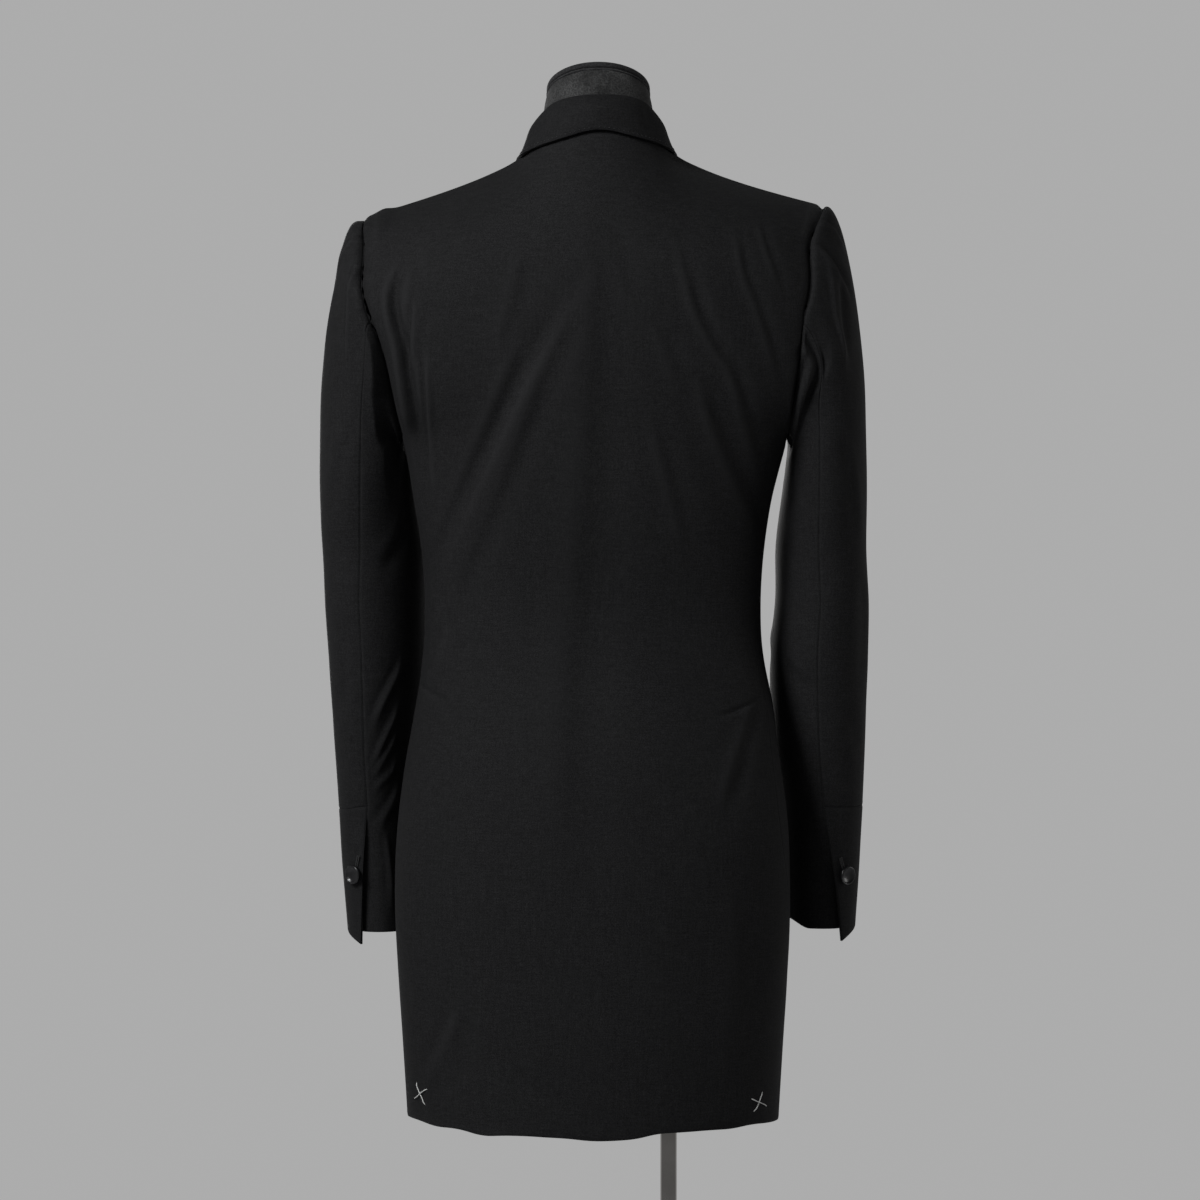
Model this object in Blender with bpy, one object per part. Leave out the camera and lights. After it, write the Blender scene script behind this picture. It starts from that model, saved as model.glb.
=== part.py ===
"""Long peak-lapel jacket on a limbless dress form that stands on a pole.

Metres, +Z up. The origin is the centre of the base plate's underside.
The jacket's front faces -Y and the wearer's left is +X.

The cloth is worked out as one surface, the toile, from short tables of levels.
The toile is then taken apart at the seams: each cut piece is a wall of its own
object, SEAM_GAP away from its neighbours, with the thickness going inwards.
"""

import math

import bmesh
import bpy
from mathutils import Vector
from mathutils.bvhtree import BVHTree

# ---------------------------------------------------------------- sizes

CLOTH = 0.0018          # wall of the wool cloth
SEAM_GAP = 0.0003       # between two pieces that are sewn together
WELD = 0.00002          # points nearer than this are one point of the toile

HEM = 0.561             # height of the hem
ARMPIT = 1.168          # height of the lowest point of the armhole
WAIST = 1.010           # height of the narrowest girth

BACK_COLUMNS = 28       # strips of the back, side seam to side seam
NECK_COLUMNS = 4        # strips on each side of the centre back that end at the neckline
FRONT_COLUMNS = 10      # strips of one front, side seam to front edge
ARMHOLE_STEPS = 8       # points on the back half of an armhole, and on the front half

# Girths of the body below the armhole. back and front are the Y of the centre back
# and centre front, side is the Y of the widest point, and left_seam and right_seam are
# how many degrees behind that point the side seams run.
GIRTHS = (
    # height, half_width, back, front, side, left_seam, right_seam
    (0.561, 0.1665, 0.1200, -0.1240, 0.0100, 4.0, 4.0),
    (0.625, 0.1700, 0.1215, -0.1235, 0.0140, 4.0, 4.0),
    (0.690, 0.1740, 0.1230, -0.1230, 0.0180, 4.0, 5.0),
    (0.755, 0.1770, 0.1235, -0.1220, 0.0200, 4.0, 10.0),
    (0.815, 0.1755, 0.1220, -0.1200, 0.0190, 4.0, 19.0),
    (0.870, 0.1695, 0.1150, -0.1165, 0.0160, 4.0, 20.0),
    (0.920, 0.1610, 0.1030, -0.1120, 0.0110, 4.0, 19.0),
    (0.965, 0.1540, 0.0910, -0.1080, 0.0070, 4.0, 20.0),
    (1.010, 0.1510, 0.0840, -0.1060, 0.0040, 4.0, 18.0),
    (1.060, 0.1530, 0.0860, -0.1090, 0.0060, 4.0, 14.0),
    (1.115, 0.1605, 0.0940, -0.1160, 0.0130, 4.0, 8.0),
    (1.168, 0.1730, 0.1040, -0.1235, 0.0230, 3.0, 3.0),
)
ROUNDNESS_BACK = 2.25   # 2 is an ellipse, more is squarer
ROUNDNESS_FRONT = 2.1
SKIRT_ROUNDER = 0.25    # taken off the back's roundness from SKIRT_TOP down to the hem
SKIRT_TOP = 0.815

# The armhole runs from the armpit (0 degrees) to the shoulder point (180 degrees).
SHOULDER_POINT = (0.2070, -0.0060, 1.3765)
ARMHOLE_DEPTH = 0.0630          # half its reach from back to front
ARMHOLE_SCOOP_FRONT = 0.0140    # how far its front half is cut in towards the chest
ARMHOLE_SCOOP_BACK = 0.0020

# Sections of the yoke, one for each place on the armhole where they end. height and
# depth are at the centre, and turn is the angle the cloth has turned at the armhole.
BACK_YOKE = (
    # armhole, height, depth, turn
    (0.0, 1.1680, 0.1040, 78.0),
    (45.0, 1.2200, 0.1110, 66.0),
    (90.0, 1.2950, 0.1120, 56.0),
    (112.5, 1.3340, 0.1070, 52.0),
)
FRONT_YOKE = (
    (0.0, 1.1680, -0.1235, 102.0),
    (45.0, 1.2000, -0.1235, 76.0),
    (90.0, 1.2700, -0.1150, 62.0),
    (112.5, 1.3080, -0.1040, 56.0),
)
YOKE_STEPS = 5          # armhole steps that have such a section; above, the cloth rounds over
# The slope with which the cloth arrives at the neckline and the shoulder seam, back half.
NAPE_SLOPE = (0.0, -0.35, 0.94)
NECK_POINT_SLOPE = (0.0, -0.88, 0.47)
SHOULDER_SLOPE = (0.0, -0.97, 0.24)
ROUND_OVER = 0.36       # how tightly it rounds over
LEAN_OVER = 0.15        # how soon

NECK_POINT = (0.0640, 0.0040, 1.4290)     # where the shoulder seam meets the neckline
NAPE = (0.0, 0.0620, 1.4450)              # neckline at the centre back
SHOULDER_HOLLOW = 0.0060                  # dip of the shoulder seam, deepest near the neck
HEM_SWING = 0.0072      # the hem hangs this much lower at the centre back than at the sides
HEM_DROP = 0.0019       # and there this much below HEM

# The jacket sits unevenly: its neck is a little to the wearer's right, and the right
# shoulder is the higher one.
NECK_SHIFT = -0.0048
SHOULDER_TILT = 0.0265

FRONT_LAP = 0.0180      # how far each front passes the centre
LAP_RAISE = 0.0043      # the left front lies on the right one
LAP_START = 0.0500      # where it starts to rise, from the centre
BREAK = 1.0450          # height where the fronts' edges start to slant
LEFT_LAPEL_START = 1.0570
RIGHT_LAPEL_START = 1.1350      # lower down the right lapel would lie under the left front

# Broad soft folds of the back, each a trough from one place to another.
BACK_FOLDS = (
    # from_x, from_height, to_x, to_height, half_width, depth
    (-0.084, 1.335, -0.138, 1.160, 0.016, 0.0035),
    (-0.140, 1.330, -0.160, 1.230, 0.012, 0.0025),
    (-0.106, 1.205, -0.132, 1.080, 0.018, 0.0035),
    (0.052, 1.350, 0.104, 1.060, 0.018, 0.0030),
    (0.160, 1.300, 0.150, 1.150, 0.011, 0.0025),
)
FOLD_FADE = 0.035       # length over which a fold runs out at each end

# Collar: the fold runs round the neck and the leaf falls outside it.
COLLAR_FOLD = (
    # x, y, height, from the centre back to the front end
    (0.0, 0.0585, 1.4710),
    (0.0325, 0.0490, 1.4685),
    (0.0495, 0.0220, 1.4610),
    (0.0530, -0.0070, 1.4490),
    (0.0545, -0.0380, 1.4200),
    (0.0520, -0.0660, 1.3800),
)
COLLAR_EDGE = (
    (0.0, 0.0785, 1.4390),
    (0.0385, 0.0640, 1.4310),
    (0.0605, 0.0340, 1.4245),
    (0.0710, -0.0030, 1.4190),
    (0.0840, -0.0400, 1.3900),
    (0.0900, -0.0830, 1.3430),
)
COLLAR_CLEAR = 0.0044   # air under the leaf
COLLAR_COLUMNS = 14     # on each side of the centre back
LEAF_ROWS = 3
LEAF_BULGE = 0.0022     # how far the leaf rounds outwards
STAND_NECK = 0.6        # the part of the stand that is sewn to the back's neckline
STAND_SET = 0.0030      # its foot stands this far inside the neckline
STAND_RISE = 0.0016     # and this far above it
STAND_END_DROP = 0.0040 # and runs out below the fold's front end
STAND_BELOW_FOLD = 0.0030
FOLD_SET = 0.0012       # its head stands this far inside the fold
GORGE = (0.0520, 1.3745)        # x and height of the lapel's top end of the roll line
NOTCH = (0.0880, 1.3385)        # where the collar ends and the lapel's peak starts
PEAK = (0.1180, 1.3680)
NOTCH_REACH = 0.4       # part of the lapel's length that follows the notch's shape
LAPEL_ROWS = 10
LAPEL_COLUMNS = 5
LAPEL_SET = 0.0010      # the roll stands this far outside the front's edge
LAPEL_BELLY = 0.0070    # how far its free edge rounds out
LAPEL_CLEAR = 0.0034    # air under it
LAPEL_RISE = 0.0022     # more air under it at the top
LAPEL_ROLL = 0.0045     # how far the lapel's roll stands off the chest

# Sleeves: level sections below the armhole. twist turns the inner side forwards.
LEFT_SLEEVE = (
    # height, x, y, half_width, half_depth, twist
    (1.140, 0.2065, -0.0080, 0.0410, 0.0640, 4.0),
    (1.080, 0.2003, -0.0330, 0.0445, 0.0610, 12.0),
    (1.025, 0.1985, -0.0420, 0.0440, 0.0590, 16.0),
    (0.975, 0.1970, -0.0480, 0.0425, 0.0580, 16.0),
    (0.930, 0.1970, -0.0530, 0.0400, 0.0570, 15.0),
    (0.885, 0.1970, -0.0580, 0.0370, 0.0560, 14.0),
    (0.8340, 0.1965, -0.0630, 0.0350, 0.0550, 12.0),
    (0.797, 0.1955, -0.0670, 0.0335, 0.0540, 12.0),
    (0.760, 0.1935, -0.0700, 0.0325, 0.0530, 12.0),
    (0.7225, 0.1915, -0.0730, 0.0315, 0.0520, 12.0),
)
RIGHT_SLEEVE = (
    (1.140, 0.2100, -0.0020, 0.0370, 0.0650, 2.0),
    (1.080, 0.2060, -0.0130, 0.0400, 0.0620, 6.0),
    (1.025, 0.2075, -0.0190, 0.0405, 0.0600, 8.0),
    (0.975, 0.2065, -0.0270, 0.0415, 0.0590, 9.0),
    (0.930, 0.2070, -0.0360, 0.0405, 0.0580, 10.0),
    (0.885, 0.2075, -0.0450, 0.0390, 0.0570, 11.0),
    (0.8340, 0.2075, -0.0530, 0.0375, 0.0560, 12.0),
    (0.797, 0.2070, -0.0590, 0.0360, 0.0550, 12.0),
    (0.760, 0.2060, -0.0640, 0.0350, 0.0540, 12.0),
    (0.7225, 0.2050, -0.0680, 0.0335, 0.0530, 12.0),
)
SEAM_SET = 7.0          # degrees by which the back seam lies inside the rearmost line
CAP_STEPS = 6           # rows from the armhole to the first level section
SLEEVE_ROWS = 6         # rows from there to the seam above the cuff
CUFF_ROWS = 3
CUFF_SEAM = 0.8340      # height of the seam above the cuff
BACK_SEAM = 4           # armhole step, back half, of the sleeve's back seam
FRONT_SEAM = 3          # armhole step, front half, of its front seam
CAP_REACH = 0.092       # how far the sleeve head leaves the armhole before it falls
ARMPIT_REACH = 0.2      # and how much further at the armpit
ARMPIT_LEAVE = (0.90, 0.0, -1.0)        # the way it leaves the armhole at the armpit
SHOULDER_LEAVE = (1.0, 0.0, 0.22)       # and at the shoulder
ARMPIT_TURN = 75.0      # degrees of the armhole over which the one turns into the other
CAP_FALL = 0.47         # how steadily it arrives at the first level section
FLAP_STEPS = 4          # columns of the cuff, from its vent edge, that the flap takes up
FLAP_LIFT = 0.0030      # the cuff's vent edge stands off the sleeve
FLAP_SLANT = 0.32       # and slants outwards by this part of an armhole step
FLAP_POINT = 0.0110     # its corner reaches this far below the sleeve's hem
VENT_SINK = 0.0032      # the underlap lies this deep under it
VENT_REACH = 0.45       # and reaches under it by this part of an armhole step

# Buttons
SLEEVE_BUTTON = 0.0085  # radii
FRONT_BUTTON = 0.0110
BUTTON_THICK = 0.0042
BUTTON_LIFT = 0.0008    # the button's back stands this far off the cloth, on its thread
BUTTON_TURN = 68.0      # degrees round the sleeve, from its outer side towards the back
BUTTON_PROFILE = (
    # share of the radius, share of the thickness, from the middle of the face to the back
    (0.30, 0.78), (0.66, 0.62), (0.80, 0.95), (0.92, 0.95), (1.0, 0.60), (0.90, 0.12),
    (0.60, 0.0),
)
BUTTON_SIDES = 20
BUTTON_HEIGHT = 0.7780  # height of the sleeve buttons

# Dress form
TORSO = (
    # height, half_width, back, front
    (0.786, 0.1500, 0.1000, -0.0980),
    (0.800, 0.1560, 0.1060, -0.1040),
    (0.850, 0.1570, 0.1060, -0.1050),
    (0.920, 0.1460, 0.0920, -0.1010),
    (1.010, 0.1360, 0.0730, -0.0950),
    (1.090, 0.1430, 0.0780, -0.1020),
    (1.170, 0.1570, 0.0900, -0.1120),
    (1.240, 0.1640, 0.0980, -0.1090),
    (1.300, 0.1700, 0.0970, -0.0950),
    (1.340, 0.1700, 0.0880, -0.0780),
    (1.362, 0.1580, 0.0780, -0.0650),
    (1.378, 0.1220, 0.0680, -0.0540),
    (1.392, 0.0890, 0.0610, -0.0470),
    (1.406, 0.0650, 0.0570, -0.0430),
    (1.418, 0.0530, 0.0550, -0.0415),
    (1.428, 0.0480, 0.0540, -0.0410),
)
TORSO_ROUNDNESS = 2.17  # as for the jacket: 2 is an ellipse
TORSO_SIDES = 40
NECK_RADII = (0.0450, 0.0470, 0.0490, 0.0455)   # from its foot to its head
NECK_FOOT = (0.0060, 1.4300)    # y and height of the neck block's foot
NECK_HEAD = (0.0000, 1.4815)
NECK_TILT = 22.0                # its head leans forwards
CAP_THICK = 0.0050
CAP_DOME = 0.0040
CAP_SHOULDER = 0.8      # the dome's rings, as shares of its radius
CAP_CROWN = 0.3
CAP_OVERHANG = 0.0010

POLE_X = -0.0680
POLE_RADIUS = 0.0075
POLE_SIDES = 24
FLANGE_RADIUS = 0.0300
FLANGE_THICK = 0.0060
SOCKET_RADIUS = 0.0160
SOCKET_HEIGHT = 0.0450
BASE_RADIUS = 0.1900
BASE_THICK = 0.0080
BASE_EDGE = 0.0020
ROUND_SIDES = 48


# ---------------------------------------------------------------- helpers

def spow(value, power):
    return math.copysign(abs(value) ** power, value)


def smooth(value):
    value = min(1.0, max(0.0, value))
    return value * value * (3.0 - 2.0 * value)


def between(table, at):
    """The columns of a table at a place between its rows, on a smooth curve."""
    if table[0][0] > table[-1][0]:
        table = table[::-1]
    last = len(table) - 1
    i = 0
    while i < last - 1 and table[i + 1][0] <= at:
        i += 1
    low, high = table[i], table[i + 1]
    before, after = table[max(i - 1, 0)], table[min(i + 2, last)]
    span = high[0] - low[0]
    t = min(1.0, max(0.0, (at - low[0]) / span))
    found = []
    for a, b, c, d in zip(before[1:], low[1:], high[1:], after[1:]):
        rise_low = (c - a) / (high[0] - before[0]) * span
        rise_high = (d - b) / (after[0] - low[0]) * span
        found.append(
            b * (1 + 2 * t) * (1 - t) ** 2 + rise_low * t * (1 - t) ** 2
            + c * t * t * (3 - 2 * t) + rise_high * t * t * (t - 1)
        )
    return found


def along(points, t):
    """A point on a smooth curve through the points, t from 0 to 1."""
    rows = [(i / (len(points) - 1), *point) for i, point in enumerate(points)]
    return Vector(between(rows, t))


def leaned(point):
    """The place a point takes when the jacket sits unevenly on the form."""
    high = smooth((point.z - ARMPIT) / 0.2)
    near_neck = 1 - smooth(abs(point.x) / SHOULDER_POINT[0])
    return Vector((
        point.x + NECK_SHIFT * high * near_neck,
        point.y,
        point.z - SHOULDER_TILT * point.x * high,
    ))


def mirrored(grid):
    return [[Vector((-p.x, p.y, p.z)) for p in row] for row in grid]


# ---------------------------------------------------------------- the body of the toile

def armhole(half, degrees):
    """A point of the left armhole. half is 1 on the back and -1 on the front."""
    angle = math.radians(degrees)
    rise = (1 - math.cos(angle)) / 2
    swing = math.sin(angle)
    low = girth_point(ARMPIT, seam_angle(ARMPIT, 1))
    high = Vector(SHOULDER_POINT)
    point = low.lerp(high, rise)
    scoop = ARMHOLE_SCOOP_BACK if half > 0 else ARMHOLE_SCOOP_FRONT
    point.x -= scoop * swing ** 1.5
    point.y = low.y + (high.y - low.y) * rise + half * ARMHOLE_DEPTH * spow(swing, 0.85)
    return point


def girth_point(height, degrees):
    """A point of the body below the armhole: 0 is the centre back, 90 the left side."""
    half_width, back, front, side = between(GIRTHS, height)[:4]
    s = math.sin(math.radians(degrees))
    c = math.cos(math.radians(degrees))
    skirt = smooth((SKIRT_TOP - height) / (SKIRT_TOP - HEM))
    roundness = ROUNDNESS_BACK - SKIRT_ROUNDER * skirt if c > 0 else ROUNDNESS_FRONT
    reach = back - side if c > 0 else side - front
    return Vector((
        half_width * spow(s, 2 / roundness),
        side + reach * spow(c, 2 / roundness),
        height,
    ))


def seam_angle(height, side):
    left_seam, right_seam = between(GIRTHS, height)[4:]
    return 90.0 - (left_seam if side > 0 else right_seam)


def yoke_point(table, half, degrees, share):
    """A point on a yoke section: share is 0 at the centre and 1 at the armhole."""
    height, depth, turn = between(table, degrees)
    edge = armhole(half, degrees)
    roundness = ROUNDNESS_BACK if half > 0 else ROUNDNESS_FRONT
    angle = math.radians(turn)
    s = spow(math.sin(share * angle), 2 / roundness) / spow(math.sin(angle), 2 / roundness)
    c = (1 - spow(math.cos(share * angle), 2 / roundness)) / (
        1 - spow(math.cos(angle), 2 / roundness))
    return Vector((
        edge.x * s,
        depth + (edge.y - depth) * c,
        height + (edge.z - height) * s * s,
    ))


def rounded_over(low, top, slope, t):
    """A point on the way from the last yoke section up and over to the shoulder."""
    reach = (top - low).length * ROUND_OVER
    rise = Vector((0.0, 0.0, 1.0)).lerp(slope, LEAN_OVER).normalized()
    first, second = low + rise * reach, top - slope.normalized() * reach
    return (
        low * (1 - t) ** 3 + first * 3 * t * (1 - t) ** 2
        + second * 3 * t * t * (1 - t) + top * t ** 3
    )


def shoulder_seam(share):
    """From the neck point (0) to the shoulder point (1)."""
    point = Vector(NECK_POINT).lerp(Vector(SHOULDER_POINT), share)
    point.z -= SHOULDER_HOLLOW * math.sin(math.pi * share ** 0.67)
    return point


def shoulder_slope(share):
    """How the cloth of the back arrives there; the front's is its mirror image in Y."""
    return Vector(NECK_POINT_SLOPE).lerp(Vector(SHOULDER_SLOPE), share)


def neckline(share):
    """From the nape (0) to the neck point (1)."""
    angle = math.radians(90 * share)
    nape, corner = Vector(NAPE), Vector(NECK_POINT)
    return Vector((
        corner.x * math.sin(angle),
        corner.y + (nape.y - corner.y) * math.cos(angle),
        corner.z + (nape.z - corner.z) * math.cos(angle),
    ))


def lower_heights():
    return [row[0] for row in GIRTHS]


def yoke_degrees():
    return [180.0 * k / ARMHOLE_STEPS for k in range(1, ARMHOLE_STEPS + 1)]


def hem_height(height, degrees):
    """The lowest row swings down at the centre back, degrees from there to the side."""
    if height > HEM:
        return height
    return height - HEM_DROP + HEM_SWING * math.sin(math.radians(min(90.0, degrees))) ** 2


def fold_depth(x, height):
    """How far the folds of the back sink the cloth there."""
    depth = 0.0
    here = Vector((x, height))
    for from_x, from_height, to_x, to_height, half_width, deep in BACK_FOLDS:
        start = Vector((from_x, from_height))
        way = Vector((to_x, to_height)) - start
        at = (here - start).dot(way.normalized())
        aside = (here - start - way.normalized() * at).length
        ends = smooth(at / FOLD_FADE + 0.5) * smooth((way.length - at) / FOLD_FADE + 0.5)
        depth += deep * ends * math.exp(-(aside / half_width) ** 2)
    return depth


def back_grid():
    half = BACK_COLUMNS // 2
    shares = [i / half for i in range(-half, half + 1)]
    grid = []
    for height in lower_heights():
        row = [girth_point(height, share * seam_angle(height, share)) for share in shares]
        for point, share in zip(row, shares):
            point.z = hem_height(height, abs(share) * 90)
        grid.append(row)
    for degrees in yoke_degrees()[:YOKE_STEPS]:
        row = []
        for share in shares:
            point = yoke_point(BACK_YOKE, 1, degrees, abs(share))
            row.append(Vector((math.copysign(point.x, share), point.y, point.z)))
        grid.append(row)
    low, top, slopes = grid[-1], [], []
    for i in range(-half, half + 1):
        if abs(i) <= NECK_COLUMNS:
            share = abs(i) / NECK_COLUMNS
            point = neckline(share)
            slopes.append(Vector(NAPE_SLOPE).lerp(Vector(NECK_POINT_SLOPE), share))
        else:
            share = (abs(i) - NECK_COLUMNS) / (half - NECK_COLUMNS)
            point = shoulder_seam(share)
            slopes.append(shoulder_slope(share))
        top.append(Vector((math.copysign(point.x, i), point.y, point.z)))
    grid += over_rows(1, low, top, slopes, (0, -1))
    for row in grid:
        for point in row[1:-1]:
            point.y -= fold_depth(point.x, point.z)
    return grid


def over_rows(half, low, top, slopes, armhole_columns):
    """The last rows of a yoke, which end exactly on the armhole and the shoulder seam."""
    rows = []
    for k in range(YOKE_STEPS + 1, ARMHOLE_STEPS):
        t = (k - YOKE_STEPS) / (ARMHOLE_STEPS - YOKE_STEPS)
        row = [rounded_over(*each, t) for each in zip(low, top, slopes)]
        for column in armhole_columns:
            point = armhole(half, 180.0 * k / ARMHOLE_STEPS)
            row[column] = Vector((math.copysign(point.x, top[column].x), point.y, point.z))
        rows.append(row)
    return [*rows, top]


def front_edge_x(height):
    """Where the left front ends: straight up to the break, then along the roll line."""
    if height <= BREAK:
        return -FRONT_LAP
    share = (height - BREAK) / (NECK_POINT[2] - BREAK)
    return -FRONT_LAP + (NECK_POINT[0] + FRONT_LAP) * share


def front_grid(side):
    """A front, from the side seam to its front edge. Both are worked out as a left one."""
    grid = []
    columns = range(FRONT_COLUMNS + 1)
    for height in lower_heights():
        width = between(GIRTHS, height)[0]
        start = seam_angle(height, side)
        lap = spow(front_edge_x(height) / width, ROUNDNESS_FRONT / 2)
        end = 180.0 - math.degrees(math.asin(lap))
        grid.append([
            girth_point(height, start + (end - start) * i / FRONT_COLUMNS) for i in columns
        ])
    for point in grid[0]:
        point.z = hem_height(HEM, 90)
    for degrees in yoke_degrees()[:YOKE_STEPS]:
        edge = armhole(-1, degrees)
        height, _, turn = between(FRONT_YOKE, degrees)
        inner = 0.0
        for _ in range(8):
            inner_height = height + (edge.z - height) * inner * inner
            inner = front_edge_x(inner_height) / edge.x
        angle = math.radians(turn)
        reach = spow(inner * spow(math.sin(angle), 2 / ROUNDNESS_FRONT), ROUNDNESS_FRONT / 2)
        end = math.asin(reach) / angle
        grid.append([
            yoke_point(FRONT_YOKE, -1, degrees, 1.0 + (end - 1.0) * i / FRONT_COLUMNS)
            for i in columns
        ])
    shares = [1.0 - i / FRONT_COLUMNS for i in columns]
    slopes = [shoulder_slope(share) for share in shares]
    for slope in slopes:
        slope.y = -slope.y
    grid += over_rows(-1, grid[-1], [shoulder_seam(share) for share in shares], slopes, (0,))
    if side > 0:
        for row in grid:
            for point in row:
                point.y -= LAP_RAISE * smooth((LAP_START - point.x) / (2 * FRONT_LAP))
    return grid


# ---------------------------------------------------------------- sleeves

def sleeve_section(table, height, step):
    """A point of a level section. Steps go round from the armpit over the back."""
    x, y, half_width, half_depth, twist = between(table, height)
    angle = math.pi * step / ARMHOLE_STEPS
    angle -= math.radians(SEAM_SET) * math.sin(angle)
    turn = math.radians(twist)
    across = -half_width * math.cos(angle)
    deep = half_depth * math.sin(angle)
    return Vector((
        x + across * math.cos(turn) + deep * math.sin(turn),
        y - across * math.sin(turn) + deep * math.cos(turn),
        height,
    ))


def cap_point(table, step, t):
    """The sleeve head: from the armhole outwards, then down to the first section."""
    degrees = 180.0 * abs(step) / ARMHOLE_STEPS
    start = armhole(1 if step >= 0 else -1, degrees)
    end = sleeve_section(table, table[0][0], step)
    reach = (end - start).length
    out = smooth(degrees / ARMPIT_TURN)
    leave = Vector(ARMPIT_LEAVE).lerp(Vector(SHOULDER_LEAVE), out).normalized()
    first = start + leave * reach * (CAP_REACH + ARMPIT_REACH * (1 - out))
    second = end + Vector((0.0, 0.0, reach * CAP_FALL))
    return (
        start * (1 - t) ** 3 + first * 3 * t * (1 - t) ** 2
        + second * 3 * t * t * (1 - t) + end * t ** 3
    )


def sleeve_heights(table):
    top, hem = table[0][0], table[-1][0]
    above = [top + (CUFF_SEAM - top) * k / SLEEVE_ROWS for k in range(1, SLEEVE_ROWS + 1)]
    below = [CUFF_SEAM + (hem - CUFF_SEAM) * k / CUFF_ROWS for k in range(1, CUFF_ROWS + 1)]
    return above, below


def sleeve_strip(table, steps, heights):
    grid = [[cap_point(table, s, t / CAP_STEPS) for s in steps] for t in range(CAP_STEPS + 1)]
    grid += [[sleeve_section(table, z, s) for s in steps] for z in heights]
    return grid


def outer_steps():
    """From the back seam over the shoulder side to the front seam."""
    return [*range(BACK_SEAM, ARMHOLE_STEPS + 1), *range(1 - ARMHOLE_STEPS, 1 - FRONT_SEAM)]


def top_sleeve_grid(table):
    above, _ = sleeve_heights(table)
    return sleeve_strip(table, outer_steps(), above)


def sink(table, point, height, depth):
    """Moves a point of a section towards the middle of the sleeve."""
    x, y = between(table, height)[:2]
    inwards = Vector((x - point.x, y - point.y, 0.0)).normalized()
    return point + inwards * depth


def under_sleeve_grid(table):
    steps = list(range(-FRONT_SEAM, BACK_SEAM + 1))
    above, below = sleeve_heights(table)
    grid = sleeve_strip(table, steps, above)
    for k, height in enumerate(below):
        row = [sleeve_section(table, height, s) for s in steps]
        lap = sleeve_section(table, height, BACK_SEAM + (VENT_REACH if k > 0 else 0.0))
        row[-1] = sink(table, lap, height, VENT_SINK)
        row[-2] = sink(table, row[-2], height, VENT_SINK / 3)
        grid.append(row)
    return grid


def cuff_grid(table):
    above, below = sleeve_heights(table)
    heights = [above[-1], *below]
    grid = []
    for height in heights:
        down = (heights[0] - height) / (heights[0] - heights[-1])
        row = []
        for i, step in enumerate(outer_steps()):
            near = max(0.0, 1.0 - i / FLAP_STEPS)
            point = sleeve_section(table, height, step + FLAP_SLANT * near * down)
            point = sink(table, point, height, -FLAP_LIFT * near * smooth(2 * down))
            point.z -= FLAP_POINT * near ** 2 * down
            row.append(point)
        grid.append(row)
    return grid


# ---------------------------------------------------------------- walls

def shell_of(grids):
    """All the pieces of the toile as one mesh, joined where they are sewn."""
    bm = bmesh.new()
    for grid in grids:
        made = [[bm.verts.new(p) for p in row] for row in grid]
        for low, high in zip(made, made[1:]):
            for i in range(len(low) - 1):
                bm.faces.new((low[i], low[i + 1], high[i + 1], high[i]))
    bmesh.ops.remove_doubles(bm, verts=bm.verts, dist=WELD)
    bmesh.ops.recalc_face_normals(bm, faces=bm.faces)
    bm.normal_update()
    return bm


def spot(point):
    return tuple(round(value / (5 * WELD)) for value in point)


def normals_of(grids):
    bm = shell_of(grids)
    found = {}
    for vert in bm.verts:
        found[spot(vert.co)] = vert.normal.copy()
    nape = min(bm.verts, key=lambda v: (v.co - Vector(NAPE)).length)
    sign = 1.0 if nape.normal.y > 0 else -1.0
    bm.free()
    return {key: normal * sign for key, normal in found.items()}


def inwards_of(grid, normals):
    """The unit vector from the face side to the wrong side at each point."""
    rows = []
    for row in grid:
        rows.append([-normals[spot(point)] for point in row])
    return rows


def trimmed(grid, inwards):
    """The grid with its edges drawn in by half the gap of a seam, square to the wall."""
    rows, columns = len(grid), len(grid[0])
    result = [[point.copy() for point in row] for row in grid]

    def draw_in(edge, beside):
        step = grid[beside[0]][beside[1]] - grid[edge[0]][edge[1]]
        through = inwards[edge[0]][edge[1]]
        step -= through * step.dot(through)
        result[edge[0]][edge[1]] += step.normalized() * SEAM_GAP / 2

    for i in range(rows):
        draw_in((i, 0), (i, 1))
        draw_in((i, columns - 1), (i, columns - 2))
    for j in range(columns):
        draw_in((0, j), (1, j))
        draw_in((rows - 1, j), (rows - 2, j))
    return result


def wall_mesh(name, face, wrong):
    """A closed wall between two grids of points."""
    bm = bmesh.new()
    rows, columns = len(face), len(face[0])
    front = [[bm.verts.new(p) for p in row] for row in face]
    rear = [[bm.verts.new(p) for p in row] for row in wrong]
    for i in range(rows - 1):
        for j in range(columns - 1):
            bm.faces.new((front[i][j], front[i][j + 1], front[i + 1][j + 1], front[i + 1][j]))
            bm.faces.new((rear[i][j], rear[i + 1][j], rear[i + 1][j + 1], rear[i][j + 1]))
    for j in range(columns - 1):
        bm.faces.new((front[0][j], rear[0][j], rear[0][j + 1], front[0][j + 1]))
        bm.faces.new((front[-1][j], front[-1][j + 1], rear[-1][j + 1], rear[-1][j]))
    for i in range(rows - 1):
        bm.faces.new((front[i][0], front[i + 1][0], rear[i + 1][0], rear[i][0]))
        bm.faces.new((front[i][-1], rear[i][-1], rear[i + 1][-1], front[i + 1][-1]))
    return finished(name, bm)


def finished(name, bm):
    if bm.calc_volume(signed=True) < 0:
        bmesh.ops.reverse_faces(bm, faces=bm.faces)
    mesh = bpy.data.meshes.new(name)
    bm.to_mesh(mesh)
    bm.free()
    return mesh


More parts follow.
